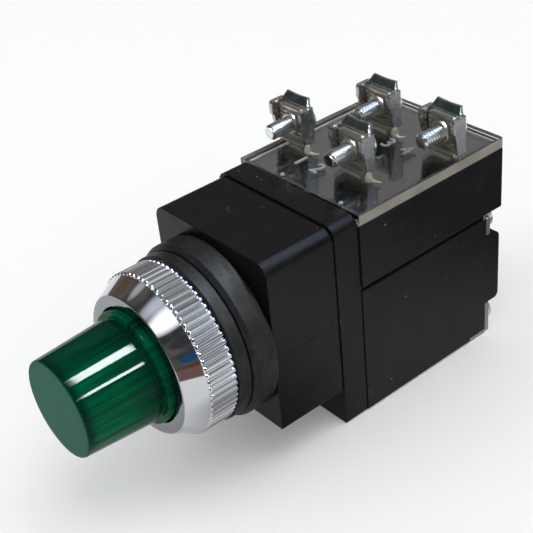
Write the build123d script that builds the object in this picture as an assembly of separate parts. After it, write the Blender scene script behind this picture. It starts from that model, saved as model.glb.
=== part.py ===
from build123d import *
import os

# Illuminated push button for a 30 mm panel hole, in millimetres.
# The button axis is Y and the front looks towards -Y. The origin is on that axis, on the
# front face of the body, where the panel is clamped. The terminal side is up, +Z.

# Front body with its neck
neck_diameter = 29.6
neck_wall = 2.15
neck_bore = neck_diameter - 2 * neck_wall
shoulder_side = 3.0
shoulder_top = 5.8
shoulder_bottom = 4.4
housing_width = neck_diameter + 2 * shoulder_side
housing_top = neck_diameter / 2 + shoulder_top
housing_bottom = -(neck_diameter / 2 + shoulder_bottom)
housing_depth = 17.1
housing_wall = 2.0
housing_edge_radius = 3.0
small_edge_radius = 0.6
edge_search = 0.1
edge_match = 0.01
overcut = 1.0
adapter_side_step = 0.3
adapter_width = housing_width + 2 * adapter_side_step
adapter_top_step = 0.8
adapter_top = housing_top + adapter_top_step
adapter_bottom_step = 9.0
adapter_bottom = housing_bottom - adapter_bottom_step
adapter_depth = 6.4
adapter_edge_radius = 2.6
spigot_depth = 1.5
spigot_clearance = 0.2

# Gaskets and ring
ring_wall = 3.2
ring_diameter = neck_diameter + 2 * ring_wall
ring_opening_step = 0.1
ring_opening = neck_bore + ring_opening_step
ring_cone_rise = 2.8
ring_face_diameter = ring_diameter - 2 * ring_cone_rise
ring_band_depth = 6.8
ring_cone_depth = 4.5
ring_lip = 2.0
ring_edge_chamfer = 0.3
ring_thread_clearance = 0.25
ring_flutes = 72
flute_depth = 0.45
flute_share = 0.62
front_gasket_depth = 3.1
front_gasket_step = 0.4
front_gasket_diameter = ring_diameter + 2 * front_gasket_step
rear_gasket_depth = 6.2
rear_gasket_step = 1.4
rear_gasket_diameter = ring_diameter + 2 * rear_gasket_step
gasket_lip_depth = 1.0
gasket_bore_clearance = 0.2
gasket_edge_radius = 0.6
neck_end_gap = 0.3

# Lens and its holder
rim_gap = 0.35
rim_diameter = ring_opening - 2 * rim_gap
rim_step = 1.0
lens_root_diameter = rim_diameter - 2 * rim_step
lens_taper = 0.95
lens_front_diameter = lens_root_diameter - 2 * lens_taper
lens_length = 15.6
lens_wall = 1.5
lens_edge_radius = 0.9
lens_groove_depth = 1.4
lens_groove_step = 0.55
lens_groove_diameter = lens_root_diameter - 2 * lens_groove_step
rim_thickness = 1.8
rim_proud = 1.4
skirt_length = 4.5
skirt_wall = 1.0
holder_clearance = 0.35
holder_wall = 1.2
holder_fit = 0.05
flange_step = 1.65
flange_diameter = neck_bore + 2 * flange_step
flange_thickness = 2.0
press_travel = 4.0
leg_offset = 4.5
leg_drop = 2.85
leg_level = -(neck_bore / 2 - leg_drop)
leg_width = 3.0
leg_height = 2.0
leg_clearance = 0.4
leg_reach = 2.5

# Lamp and socket
bulb_diameter = 10.0
bulb_tip = -29.0
lamp_base_diameter = 9.2
lamp_base_length = 17.0
lamp_pin_radius = 0.8
lamp_pin_proud = 0.9
lamp_pin_setback = 7.0
lamp_contact_radius = 1.6
lamp_contact_height = 0.6
lamp_contact_draft = 0.2
bulb_neck_step = 0.8
bulb_neck_length = 1.5
bulb_shoulder_length = 2.5
bulb_tip_share = 0.92
lamp_seat_height = 8.6
socket_diameter = 13.0
socket_length = 18.6
socket_flange_diameter = 17.0
socket_flange_thickness = 2.0
socket_tail = 4.0
socket_fit = 0.1
socket_clearance = 0.25
socket_floor_gap = 0.4
solder_tag_length = 1.2
solder_collar_step = 0.8
solder_collar_height = 0.6
contact_pin_diameter = 3.6

# Springs
return_spring_inset = 1.4
return_spring_diameter = flange_diameter - 2 * return_spring_inset
return_spring_wire = 0.9
return_spring_turns = 5
carriage_spring_diameter = 5.6
carriage_spring_wire = 0.5
carriage_spring_turns = 5
bridge_spring_diameter = 3.0
bridge_spring_wire = 0.4
bridge_spring_turns = 3

# Transformer housing and terminal cover
upper_side_step = 0.5
upper_width = adapter_width + 2 * upper_side_step
upper_length = 43.1
upper_top_step = 2.4
upper_top = adapter_top - upper_top_step
upper_height = 14.5
split_level = upper_top - upper_height
upper_wall = 1.8
upper_edge_radius = 0.8
base_plate_thickness = 1.5
base_plate_clearance = 0.15
cover_side_inset = 0.2
cover_width = upper_width - 2 * cover_side_inset
cover_thickness = 2.5
cover_rim = 1.3
cover_recess = 0.8
cover_edge_radius = 0.4
pip_radius = 0.8
pip_height = 0.3
pip_inset = 1.3
pip_places = (-5.8, 12.0)

# Transformer
core_width = 26.0
core_length = 32.0
core_stack = 7.0
core_drop = 11.0
core_level = upper_top - core_drop
core_leg_width = 8.0
core_window_width = 5.0
core_window_length = 20.0
rib_share = 0.25
coil_wall = 0.8
coil_fit = 0.15
coil_build = 3.2
coil_rise = 0.9
winding_inset = 0.2

# Screw terminals on the cover
terminal_row_y = 13.5
terminal_row_pitch = 17.6
clamp_width = 10.2
terminal_pitch_step = 0.2
terminal_pitch_x = cover_width / 2 + terminal_pitch_step
terminal_row_overlap = 0.3
terminal_stagger = terminal_pitch_x - clamp_width + terminal_row_overlap
terminal_start_x = -(terminal_pitch_x + terminal_stagger) / 2
clamp_sheet = 1.0
clamp_depth = 3.9
clamp_level = 1.7
clamp_height = 8.1
lip_height = 1.8
lip_lean = 1.15
lip_root_width = 8.0
lip_tip_width = 6.4
lip_tip_drop = 0.4
lip_bend_drop = 0.2
wing_corner = 0.5
wing_step = 0.5
wing_step_rise = 5.2
wing_foot_step = 1.2
bend_round_share = 0.55
screw_diameter = 3.5
screw_rise = 5.5
screw_length = 8.6
screw_head_diameter = 6.8
screw_head_height = 2.4
screw_cross_width = 0.9
screw_cross_depth = 1.1
cross_span_share = 0.55
head_round_share = 0.4
clamp_hole_clearance = 0.2
thread_fit = 0.03
post_thickness = 1.2
post_side_gap = 0.2
post_height = 9.0
post_foot_rise = 0.4
post_foot_radius = 0.65
post_leg_width = 1.6
post_leg_inset = 0.1
post_collar_diameter = 5.2
post_collar_height = 0.8
post_slot_clearance = 0.12
serration_depth = 0.3
serration_start = 0.4
serration_pitch = 1.0
serration_count = 2

# Contact block
lower_side_step = 0.2
lower_width = adapter_width + 2 * lower_side_step
lower_length = 38.1
lower_wall = 1.8
chamber_side_wall = 6.3
chamber_width = lower_width - 2 * chamber_side_wall
rear_cover_drop = 6.4
rear_cover_top = split_level - rear_cover_drop
rear_cover_rise = 8.2
rear_cover_bottom = adapter_bottom + rear_cover_rise
chamber_edge_overlap = 1.1
chamber_top = rear_cover_top - chamber_edge_overlap
chamber_bottom = rear_cover_bottom + chamber_edge_overlap
rear_cover_depth = 4.7
rear_cover_inset = 0.2
rear_cover_width = lower_width - 2 * rear_cover_inset
rear_cover_edge_radius = 1.4
guide_boss_diameter = 7.0
guide_boss_length = 6.6
guide_clearance = 0.2
plate_guide_clearance = 0.3
stem_diameter = 3.6
stem_length = 12.2
stem_end_gap = 1.0
frame_side_gap = 0.5
frame_width = chamber_width - 2 * frame_side_gap
frame_height = 3.0
frame_bar = 1.2
frame_start = 12.0
frame_window = 5.4
front_plate_thickness = 2.0
bridge_side_gap = 4.4
bridge_offset = chamber_width / 2 - bridge_side_gap
bridge_width = 4.0
bridge_thickness = 0.8
bridge_length = 13.2
button_radius = 1.1
button_height = 0.4
button_inset = 0.2
contact_gap = 4.2
closed_gap = 0.05
strip_thickness = 1.0
strip_width = 4.8
strip_tip = 3.2
strip_side_gap = 0.15
strip_tail_overlap = 2.0
pad_width = 8.0
pad_side_inset = 0.1
pad_x = lower_width / 2 - pad_width / 2 - pad_side_inset
pad_edge_inset = 0.2
foot_length = 6.0
washer_side = 7.8
washer_upper_height = 5.8
washer_thickness = 1.5
rear_screw_diameter = 3.5
rear_screw_length = 5.6
rear_head_diameter = 6.0
rear_head_height = 2.4

# Screws that hold the blocks together
case_screw_diameter = 2.6
case_screw_length = 12.0
case_head_diameter = 5.0
case_head_height = 2.0
case_boss_diameter = 5.6
case_boss_inset = 4.6
long_screw_diameter = 2.9
long_screw_inset = 2.7
long_screw_x = adapter_width / 2 - long_screw_inset
long_screw_level = (rear_cover_top + rear_cover_bottom) / 2
long_head_diameter = 4.8
long_head_height = 2.0
screw_hole_clearance = 0.2
screw_end_gap = 0.5
long_screw_end_gap = 1.5

# Places that follow from the sizes above
adapter_front = housing_depth
adapter_back = adapter_front + adapter_depth
upper_back = adapter_back + upper_length
lower_back = adapter_back + lower_length
ring_back = -(rear_gasket_depth + front_gasket_depth)
ring_front = ring_back - ring_band_depth - ring_cone_depth
neck_end = ring_front + ring_lip + neck_end_gap
rim_front = ring_front - rim_proud
rim_back = rim_front + rim_thickness
groove_front = rim_front - lens_groove_depth
lens_front = groove_front - lens_length
holder_radius = neck_bore / 2 - holder_clearance
holder_bore = holder_radius - holder_wall
flange_front = housing_wall
flange_back = flange_front + flange_thickness
spring_seat = adapter_front - spigot_depth
leg_end = adapter_back + leg_reach
cover_level = upper_top + cover_thickness
screw_level = cover_level + screw_rise
chamber_middle = (chamber_top + chamber_bottom) / 2
frame_front = leg_end + frame_start
frame_back = frame_front + 2 * frame_bar + frame_window
terminal_places = [
    (
        terminal_start_x + column * terminal_pitch_x + row * terminal_stagger,
        adapter_back + terminal_row_y + row * terminal_row_pitch,
    )
    for row in (0, 1)
    for column in (0, 1)
]


def block(x0, x1, y0, y1, z0, z1):
    middle = Pos((x0 + x1) / 2, (y0 + y1) / 2, (z0 + z1) / 2)
    return middle * Box(x1 - x0, y1 - y0, z1 - z0)


def rod(diameter, y0, y1, x=0, z=0):
    return extrude(Plane.XZ.offset(-y1) * Pos(x, z) * Circle(diameter / 2), y1 - y0)


def turned(*points):
    return revolve(make_face(Polyline(*points, close=True)), Axis.Y)


def cut_across(points, x0, x1):
    outline = make_face(Polyline(*points, close=True))
    return extrude(Plane.YZ.offset(x0) * outline, x1 - x0)


def cut_along(points, y0, y1):
    outline = make_face(Polyline(*points, close=True))
    return extrude(Plane.XZ.offset(-y1) * outline, y1 - y0)


def round_long_edges(shape, axis, radius, wanted):
    edges = [e for e in shape.edges().filter_by(axis) if wanted(e.center())]
    return fillet(edges, radius)


def coil(diameter, wire, turns, y0, y1, x=0, z=0):
    height = y1 - y0 - wire
    start = y0 + wire / 2
    path = Helix(height / turns, height, diameter / 2, (x, start, z), (0, 1, 0))
    section = Plane(origin=path @ 0, z_dir=path % 0) * RegularPolygon(wire / 2, 6)
    return sweep(section, path=path, is_frenet=True)


# Front body: block with a hollow back and a hollow neck
def front_housing():
    half = housing_width / 2
    body = block(-half, half, 0, housing_depth, housing_bottom, housing_top)
    body = round_long_edges(body, Axis.Y, housing_edge_radius, lambda c: c.Z > 0)
    low_test = housing_bottom + edge_search
    body = round_long_edges(body, Axis.Y, small_edge_radius, lambda c: c.Z < low_test)
    front = body.faces().sort_by(Axis.Y)[0]
    body = fillet(front.edges(), small_edge_radius / 2)
    inner = half - housing_wall
    low = housing_bottom + housing_wall
    high = housing_top - housing_wall
    body -= block(-inner, inner, housing_wall, housing_depth + overcut, low, high)
    for x, z in case_screw_places():
        body += rod(case_boss_diameter, housing_wall, spring_seat, x, z)
        body += corner_web(x, z, inner, low, high)
    body += rod(neck_diameter, neck_end, small_edge_radius)
    body -= rod(neck_bore, neck_end - overcut, housing_wall + overcut)
    neck_rim = [
        e for e in body.edges().filter_by(GeomType.CIRCLE)
        if abs(e.center().Y - neck_end) < edge_match and e.radius > neck_bore / 2 + overcut
    ]
    body = chamfer(neck_rim, small_edge_radius)
    for x, z in case_screw_places():
        screw_bottom = adapter_front + case_screw_gap() - case_screw_length - screw_end_gap
        body -= rod(case_screw_diameter, screw_bottom, housing_depth + overcut, x, z)
    return body


def case_screw_places():
    x = housing_width / 2 - case_boss_inset
    high = housing_top - case_boss_inset
    low = housing_bottom + case_boss_inset
    return [(-x, high), (x, high), (-x, low), (x, low)]


def case_screw_gap():
    return adapter_depth - case_head_height


def corner_web(x, z, inner, low, high):
    x0, x1 = sorted((x, inner if x > 0 else -inner))
    z0, z1 = sorted((z, high if z > 0 else low))
    return block(x0, x1, housing_wall, spring_seat, z0, z1)


# Gaskets behind the ring
def front_gasket():
    bore = neck_diameter / 2 + gasket_bore_clearance
    radius = front_gasket_diameter / 2
    back = -rear_gasket_depth
    body = turned((bore, ring_back), (radius, ring_back), (radius, back), (bore, back))
    rims = body.edges().filter_by(GeomType.CIRCLE)
    outer = [e for e in rims if e.radius > bore + 1 and e.center().Y < back - edge_search]
    return chamfer(outer, gasket_edge_radius / 2)


def rear_gasket():
    bore = neck_diameter / 2 + gasket_bore_clearance
    radius = rear_gasket_diameter / 2
    front = -rear_gasket_depth
    step = front_gasket_diameter / 2 + gasket_edge_radius / 2
    return turned(
        (bore, front),
        (step, front),
        (radius, front + gasket_lip_depth),
        (radius, -gasket_edge_radius),
        (radius - gasket_edge_radius, 0),
        (bore, 0),
    )


# Chromed ring with a fluted band
def bezel_ring():
    bore = neck_diameter / 2 + ring_thread_clearance
    opening = ring_opening / 2
    face = ring_face_diameter / 2
    radius = ring_diameter / 2
    root = radius - flute_depth
    band_front = ring_front + ring_cone_depth
    body = turned(
        (opening + ring_edge_chamfer, ring_front),
        (face, ring_front),
        (root, band_front),
        (radius, band_front),
        (radius, ring_back),
        (bore, ring_back),
        (bore, ring_front + ring_lip),
        (opening, ring_front + ring_lip),
        (opening, ring_front + ring_edge_chamfer),
    )
    return body & fluted_bar(radius, root)


def fluted_bar(radius, root):
    step = 360 / ring_flutes
    half = step * flute_share / 2
    outline = []
    for number in range(ring_flutes):
        angle = number * step
        outline.append(Vector(0, radius).rotate(Axis.Z, angle - half))
        outline.append(Vector(0, radius).rotate(Axis.Z, angle + half))
        outline.append(Vector(0, root).rotate(Axis.Z, angle + step / 2))
    return cut_along([(v.X, v.Y) for v in outline], ring_front - overcut, ring_back + overcut)


# Lens cap with groove, rim and skirt
def lens_cap():
    tip = lens_front_diameter / 2
    root = lens_root_diameter / 2
    groove = lens_groove_diameter / 2
    rim = rim_diameter / 2
    skirt = holder_bore - holder_fit
    skirt_end = rim_back + skirt_length
    inner_tip = tip - lens_wall
    inner_root = skirt - skirt_wall
    body = turned(
        (0, lens_front),
        (tip, lens_front),
        (root, groove_front),
        (groove, groove_front),
        (groove, rim_front),
        (rim, rim_front),
        (rim, rim_back),
        (skirt, rim_back),
        (skirt, skirt_end),
        (inner_root, skirt_end),
        (inner_root, rim_front),
        (inner_tip, lens_front + lens_wall),
        (0, lens_front + lens_wall),
    )
    rims = body.edges().filter_by(GeomType.CIRCLE)
    front_rim = [e for e in rims if e.center().Y < lens_front + edge_search]
    return fillet(front_rim, lens_edge_radius)


# Sliding sleeve that carries the lens, with two legs that work the contact block
def lens_holder():
    flange = flange_diameter / 2
    body = turned(
        (holder_bore, rim_back),
        (holder_radius, rim_back),
        (holder_radius, flange_front),
        (flange, flange_front),
        (flange, flange_back),
        (holder_bore, flange_back),
    )
    for side in (-1, 1):
        x = side * leg_offset
        body += block(
            x - leg_width / 2,
            x + leg_width / 2,
            flange_front,
            leg_end,
            leg_level - leg_height / 2,
            leg_level + leg_height / 2,
        )
    return body


def return_spring():
    seat = spring_seat
    return coil(return_spring_diameter, return_spring_wire, return_spring_turns, flange_back, seat)


# Lamp
def lamp_seat():
    return spring_seat - socket_flange_thickness + socket_tail - lamp_seat_height


def lamp_bulb():
    radius = bulb_diameter / 2
    start = lamp_seat() - lamp_base_length
    neck = lamp_base_diameter / 2 - bulb_neck_step
    body = turned(
        (0, start),
        (neck, start),
        (neck, start - bulb_neck_length),
        (radius, start - bulb_neck_length - bulb_shoulder_length),
        (radius, bulb_tip),
        (0, bulb_tip),
    )
    rims = body.edges().filter_by(GeomType.CIRCLE)
    tip_rim = [e for e in rims if e.center().Y < bulb_tip + edge_search]
    return fillet(tip_rim, radius * bulb_tip_share)


def lamp_base():
    radius = lamp_base_diameter / 2
    seat = lamp_seat()
    start = seat - lamp_base_length
    body = turned(
        (0, start),
        (radius, start),
        (radius, seat - 2 * lamp_contact_height),
        (radius - 2 * lamp_contact_height, seat - lamp_contact_height),
        (lamp_contact_radius, seat - lamp_contact_height),
        (lamp_contact_radius - lamp_contact_draft, seat),
        (0, seat),
    )
    pin_y = seat - lamp_pin_setback
    reach = radius + lamp_pin_proud
    pin = Pos(0, pin_y, 0) * Rot(0, 90, 0) * Cylinder(lamp_pin_radius, 2 * reach)
    return body + pin


def lamp_socket():
    radius = socket_diameter / 2
    bore = lamp_base_diameter / 2 + socket_clearance
    seat = lamp_seat()
    back = adapter_front + socket_tail
    front = back - socket_length
    flange = socket_flange_diameter / 2
    body = rod(socket_diameter, front, back)
    body += rod(2 * flange, spring_seat - socket_flange_thickness, spring_seat)
    body -= rod(2 * bore, front - overcut, seat + socket_floor_gap)
    body -= rod(contact_pin_diameter + 2 * socket_fit, front, back + overcut)
    slot = lamp_pin_radius + socket_fit
    side = radius + overcut
    body -= block(-side, side, front - overcut, seat - lamp_pin_setback + slot, -slot, slot)
    return body


def socket_contact():
    seat = lamp_seat()
    back = adapter_front + socket_tail
    body = rod(contact_pin_diameter, seat, back + solder_tag_length)
    return body + rod(contact_pin_diameter + 2 * solder_collar_step, back, back + solder_collar_height)


# Plate between the front body and the two rear blocks
def adapter_plate():
    half = adapter_width / 2
    body = block(-half, half, adapter_front, adapter_back, adapter_bottom, adapter_top)
    body = round_long_edges(body, Axis.Y, adapter_edge_radius, lambda c: c.Z > 0)
    low_test = adapter_bottom + edge_search
    body = round_long_edges(body, Axis.Y, small_edge_radius, lambda c: c.Z < low_test)
    inner = housing_width / 2 - housing_wall - spigot_clearance
    low = housing_bottom + housing_wall + spigot_clearance
    high = housing_top - housing_wall - spigot_clearance
    body += block(-inner, inner, spring_seat, adapter_front, low, high)
    body -= rod(socket_diameter + 2 * socket_fit, spring_seat - overcut, adapter_back + overcut)
    for side in (-1, 1):
        x = side * leg_offset
        body -= block(
            x - leg_width / 2 - leg_clearance,
            x + leg_width / 2 + leg_clearance,
            spring_seat - overcut,
            adapter_back + overcut,
            leg_level - leg_height / 2 - leg_clearance,
            leg_level + leg_height / 2 + leg_clearance,
        )
    hole = case_screw_diameter + 2 * screw_hole_clearance
    head = case_head_diameter + 2 * screw_hole_clearance
    for x, z in case_screw_places():
        body -= rod(hole, spring_seat - overcut, adapter_back + overcut, x, z)
        body -= rod(head, adapter_back - case_head_height, adapter_back + overcut, x, z)
    for x in (-long_screw_x, long_screw_x):
        thread_end = adapter_front + overcut
        body -= rod(long_screw_diameter, thread_end, adapter_back + overcut, x, long_screw_level)
    return body


def pan_screw(diameter, head_diameter, head_height, tip, seat, x, z):
    shank = rod(diameter, tip, seat, x, z)
    head = rod(head_diameter, seat, seat + head_height, x, z)
    crown = [e for e in head.edges() if e.center().Y > seat + head_height - edge_search]
    head = fillet(crown, head_height * head_round_share)
    return shank + head - cross_recess(seat + head_height, head_diameter * cross_span_share, x, z)


def cross_recess(top, span, x, z):
    half = screw_cross_width / 2
    low = top - screw_cross_depth
    upright = block(x - half, x + half, low, top + overcut, z - span / 2, z + span / 2)
    level = block(x - span / 2, x + span / 2, low, top + overcut, z - half, z + half)
    return upright + level


def case_screws():
    seat = adapter_back - case_head_height
    tip = seat - case_screw_length
    solids = [
        pan_screw(case_screw_diameter, case_head_diameter, case_head_height, tip, seat, x, z)
        for x, z in case_screw_places()
    ]
    return Compound(children=solids)


# Upper housing, closed by a base plate below
def transformer_housing():
    half = upper_width / 2
    body = block(-half, half, adapter_back, upper_back, split_level, upper_top)
    back = [e for e in body.edges().filter_by(Axis.Z) if e.center().Y > upper_back - edge_search]
    body = fillet(back, upper_edge_radius)
    inner = half - upper_wall
    front = adapter_back + upper_wall
    back = upper_back - upper_wall
    body -= block(-inner, inner, front, back, split_level - overcut, upper_top - upper_wall)
    for x, y in terminal_places:
        body -= post_slot(x, y, post_slot_clearance)
    return body


def post_slot(x, y, gap):
    right = x + post_half_width() - post_leg_inset
    back = y - clamp_sheet
    return block(
        right - post_leg_width - gap,
        right + gap,
        back - post_thickness - gap,
        back + gap,
        split_level,
        cover_level + overcut,
    )


def post_half_width():
    return clamp_width / 2 - clamp_sheet - post_side_gap


def transformer_base():
    half = upper_width / 2 - upper_wall - base_plate_clearance
    front = adapter_back + upper_wall + base_plate_clearance
    back = upper_back - upper_wall - base_plate_clearance
    top = split_level + base_plate_thickness
    body = block(-half, half, front, back, split_level, top)
    yoke = (core_length - core_window_length) / 2
    middle = core_middle()
    for side in (-1, 1):
        y = middle + side * (core_length - yoke) / 2
        rib = rib_share * yoke
        body += block(-core_width / 2, core_width / 2, y - rib, y + rib, top, core_level)
    return body


def core_middle():
    return (adapter_back + upper_back) / 2


def transformer_core():
    half = core_width / 2
    top = core_level + core_stack
    middle = core_middle()
    body = block(-half, half, middle - core_length / 2, middle + core_length / 2, core_level, top)
    for side in (-1, 1):
        x0, x1 = sorted((side * core_leg_width / 2, side * (core_leg_width / 2 + core_window_width)))
        y0 = middle - core_window_length / 2
        body -= block(x0, x1, y0, y0 + core_window_length, core_level - overcut, top + overcut)
    return body


def sleeve(y0, y1, gap, build_x, build_z):
    middle = core_level + core_stack / 2
    x = core_leg_width / 2 + gap
    z = core_stack / 2 + gap
    wide = x + build_x
    tall = z + build_z
    shape = block(-wide, wide, y0, y1, middle - tall, middle + tall)
    return shape - block(-x, x, y0 - overcut, y1 + overcut, middle - z, middle + z)


def coil_former():
    middle = core_middle()
    half = core_window_length / 2 - coil_fit
    body = sleeve(middle - half, middle + half, coil_fit, coil_wall, coil_wall)
    wide = coil_wall + coil_build
    tall = coil_wall + coil_rise
    for y in (-half, -coil_wall / 2, half - coil_wall):
        body += sleeve(middle + y, middle + y + coil_wall, coil_fit, wide, tall)
    return body


def winding(side):
    half = core_window_length / 2 - coil_fit - coil_wall
    middle = core_middle()
    y0, y1 = sorted((middle + side * coil_wall / 2, middle + side * half))
    return sleeve(y0, y1, coil_fit + coil_wall, coil_build - winding_inset, coil_rise - winding_inset)


# Clear cover, hollowed below like a shallow tray
def terminal_cover():
    half = cover_width / 2
    body = block(-half, half, adapter_back, upper_back, upper_top, cover_level)
    body = fillet(body.faces().sort_by(Axis.Z)[-1].edges(), cover_edge_radius)
    inner = half - cover_rim
    front = adapter_back + cover_rim
    back = upper_back - cover_rim
    body -= block(-inner, inner, front, back, upper_top - overcut, upper_top + cover_recess)
    for x in pip_places:
        body += Pos(x, adapter_back + pip_inset, cover_level) * Cylinder(pip_radius, 2 * pip_height)
    for x, y in terminal_places:
        body -= post_slot(x, y, post_slot_clearance)
    return body


# Fixed terminal: upright plate with threaded collar, foot bead and one leg
def terminal_post(x, y):
    back = y - clamp_sheet
    front = back - post_thickness
    half = post_half_width()
    foot = cover_level + post_foot_rise
    top = foot + post_height
    body = block(x - half, x + half, front, back, foot, top)
    corners = [e for e in body.edges().filter_by(Axis.Y) if e.center().Z > top - edge_search]
    body = fillet(corners, post_thickness)
    level = foot + post_foot_radius
    bead = Pos(x, front, level) * Rot(0, 90, 0) * Cylinder(post_foot_radius, 2 * half)
    side = half + overcut
    body += bead - block(x - side, x + side, back, back + 2 * overcut, foot - overcut, top)
    right = x + half - post_leg_inset
    body += block(right - post_leg_width, right, front, back, upper_top - upper_wall, level)
    for side in (-1, 1):
        for number in range(serration_count):
            offset = post_collar_diameter / 2 + serration_start + serration_pitch * number
            body -= serration(x, front, screw_level + side * offset, half)
    body += rod(post_collar_diameter, front - post_collar_height, front, x, screw_level)
    hole = screw_diameter + 2 * thread_fit
    return body - rod(hole, front - post_collar_height - overcut, back + overcut, x, screw_level)


def serration(x, front, z, half):
    rise = serration_depth
    outline = [(front - rise, z - 2 * rise), (front + rise, z), (front - rise, z + 2 * rise)]
    return cut_across(outline, x - half - overcut, x + half + overcut)


# Folded saddle clamp: web with leaning lip and two side wings
def saddle_clamp(x, y):
    low = cover_level + clamp_level
    high = low + clamp_height
    tip = high + lip_height
    half = clamp_width / 2
    side_view = [
        (-clamp_sheet, low),
        (-clamp_sheet, high),
        (-clamp_sheet + lip_lean, tip),
        (lip_lean, tip - lip_tip_drop),
        (0, high - lip_bend_drop),
        (0, low),
    ]
    front_view = [
        (x - half, low),
        (x + half, low),
        (x + half, high),
        (x + lip_root_width / 2, high),
        (x + lip_tip_width / 2, tip),
        (x - lip_tip_width / 2, tip),
        (x - lip_root_width / 2, high),
        (x - half, high),
    ]
    web = cut_across([(y + a, b) for a, b in side_view], x - half, x + half)
    body = web & cut_along(front_view, y - clamp_depth, y + clamp_depth)
    front = y - clamp_depth
    step_level = low + wing_step_rise
    wing_view = [
        (y, low),
        (y, high),
        (front + wing_corner, high),
        (front, high - wing_corner),
        (front, step_level),
        (front + wing_step, step_level - wing_step),
        (front + wing_foot_step, low),
    ]
    for edge in (x - half, x + half - clamp_sheet):
        body += cut_across(wing_view, edge, edge + clamp_sheet)
    outer = [
        e for e in body.edges().filter_by(Axis.Z)
        if abs(e.center().Y - y) < edge_match and abs(abs(e.center().X - x) - half) < edge_match
    ]
    body = fillet(outer, clamp_sheet * bend_round_share)
    hole = screw_diameter + 2 * clamp_hole_clearance
    return body - rod(hole, y - clamp_depth, y + clamp_depth, x, screw_level)


def terminal_screw(x, y):
    tip = y - screw_length
    return pan_screw(screw_diameter, screw_head_diameter, screw_head_height, tip, y, x, screw_level)


# Contact block: housing with one chamber, closed from behind
def contact_housing():
    half = lower_width / 2
    body = block(-half, half, adapter_back, lower_back, adapter_bottom, split_level)
    body = round_long_edges(body, Axis.Y, small_edge_radius, lambda c: c.Z < 0)
    chamber = chamber_width / 2
    wall_back = adapter_back + lower_wall
    body -= block(-chamber, chamber, wall_back, lower_back + overcut, chamber_bottom, chamber_top)
    window = leg_offset + leg_width
    low = leg_level - leg_height / 2 - 2 * leg_clearance
    high = leg_level + leg_height / 2 + 2 * leg_clearance
    body -= block(-window, window, adapter_back - overcut, wall_back + overcut, low, high)
    for place in fixed_places():
        body -= strip_pad(place, strip_side_gap, lower_back - strip_thickness, lower_back + overcut)
        if place[1] < 0:
            body -= strip_foot(place, strip_side_gap)
        hole = rear_screw_diameter + 2 * screw_hole_clearance
        x = place[0] * pad_x
        body -= rod(hole, lower_back - rear_screw_length, lower_back + overcut, x, pad_level(place))
    hole = long_screw_diameter + 2 * screw_hole_clearance
    for x in (-long_screw_x, long_screw_x):
        body -= rod(hole, adapter_back - overcut, lower_back + overcut, x, long_screw_level)
    return body


def fixed_places():
    return [(-1, 1), (1, 1), (-1, -1), (1, -1)]


def pad_span(place):
    if place[1] > 0:
        return rear_cover_top + pad_edge_inset, split_level - pad_edge_inset
    return adapter_bottom, rear_cover_bottom - pad_edge_inset


def pad_level(place):
    low, high = pad_span(place)
    return (low + high) / 2


def strip_pad(place, gap, y0, y1):
    side, up = place
    low, high = pad_span(place)
    x0 = pad_x - pad_width / 2
    x1 = pad_x + pad_width / 2
    pad = block(*sorted((side * (x0 - gap), side * (x1 + gap))), y0, y1, low - gap, high + gap)
    inner = bridge_offset - strip_width / 2
    outer = x0 + strip_thickness
    edge = chamber_top if up > 0 else chamber_bottom
    seat = edge - up * strip_thickness
    z0, z1 = sorted((seat, low + strip_tail_overlap if up > 0 else high - strip_tail_overlap))
    tail = block(*sorted((side * (inner - gap), side * (outer + gap))), y0, y1, z0 - gap, z1 + gap)
    return pad + tail


def strip_foot(place, gap):
    side = place[0]
    x0 = pad_x - pad_width / 2 - gap
    x1 = pad_x + pad_width / 2 + gap
    front = lower_back - foot_length - gap
    top = adapter_bottom + strip_thickness
    low = adapter_bottom - gap
    return block(*sorted((side * x0, side * x1)), front, lower_back, low, top)


# Fixed contact: terminal pad on the back face and a strip into the chamber
def rear_contact(place):
    side, up = place
    back = lower_back
    body = strip_pad(place, 0, back - strip_thickness, back)
    if up < 0:
        body += strip_foot(place, 0)
    edge = chamber_top if up > 0 else chamber_bottom
    seat = edge - up * strip_thickness
    z0, z1 = sorted((edge, seat))
    x0 = bridge_offset - strip_width / 2
    x1 = bridge_offset + strip_width / 2
    tip_front = contact_face(side)
    tip_back = tip_front + strip_thickness
    body += block(*sorted((side * x0, side * x1)), tip_front, back, z0, z1)
    tip0, tip1 = sorted((edge, edge - up * strip_tip))
    body += block(*sorted((side * x0, side * x1)), tip_front, tip_back, tip0, tip1)
    hole = rear_screw_diameter + 2 * thread_fit
    x = side * pad_x
    return body - rod(hole, back - strip_thickness - overcut, back + overcut, x, pad_level(place))


def contact_face(side):
    if side > 0:
        return frame_back - frame_bar + button_height + contact_gap
    return frame_front + frame_bar - button_height - closed_gap - strip_thickness


def rear_washers():
    solids = []
    for place in fixed_places():
        x = place[0] * pad_x
        z = pad_level(place)
        half = washer_side / 2
        rise = (washer_upper_height if place[1] > 0 else washer_side) / 2
        back = lower_back + washer_thickness
        plate = block(x - half, x + half, lower_back, back, z - rise, z + rise)
        hole = rear_screw_diameter + 2 * screw_hole_clearance
        solids.append(plate - rod(hole, lower_back - overcut, back + overcut, x, z))
    return Compound(children=solids)


def rear_screws():
    seat = lower_back + washer_thickness
    tip = lower_back - rear_screw_length + screw_end_gap
    solids = []
    for place in fixed_places():
        x = place[0] * pad_x
        z = pad_level(place)
        diameter = rear_screw_diameter
        screw = pan_screw(diameter, rear_head_diameter, rear_head_height, tip, seat, x, z)
        solids.append(screw)
    return Compound(children=solids)


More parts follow.
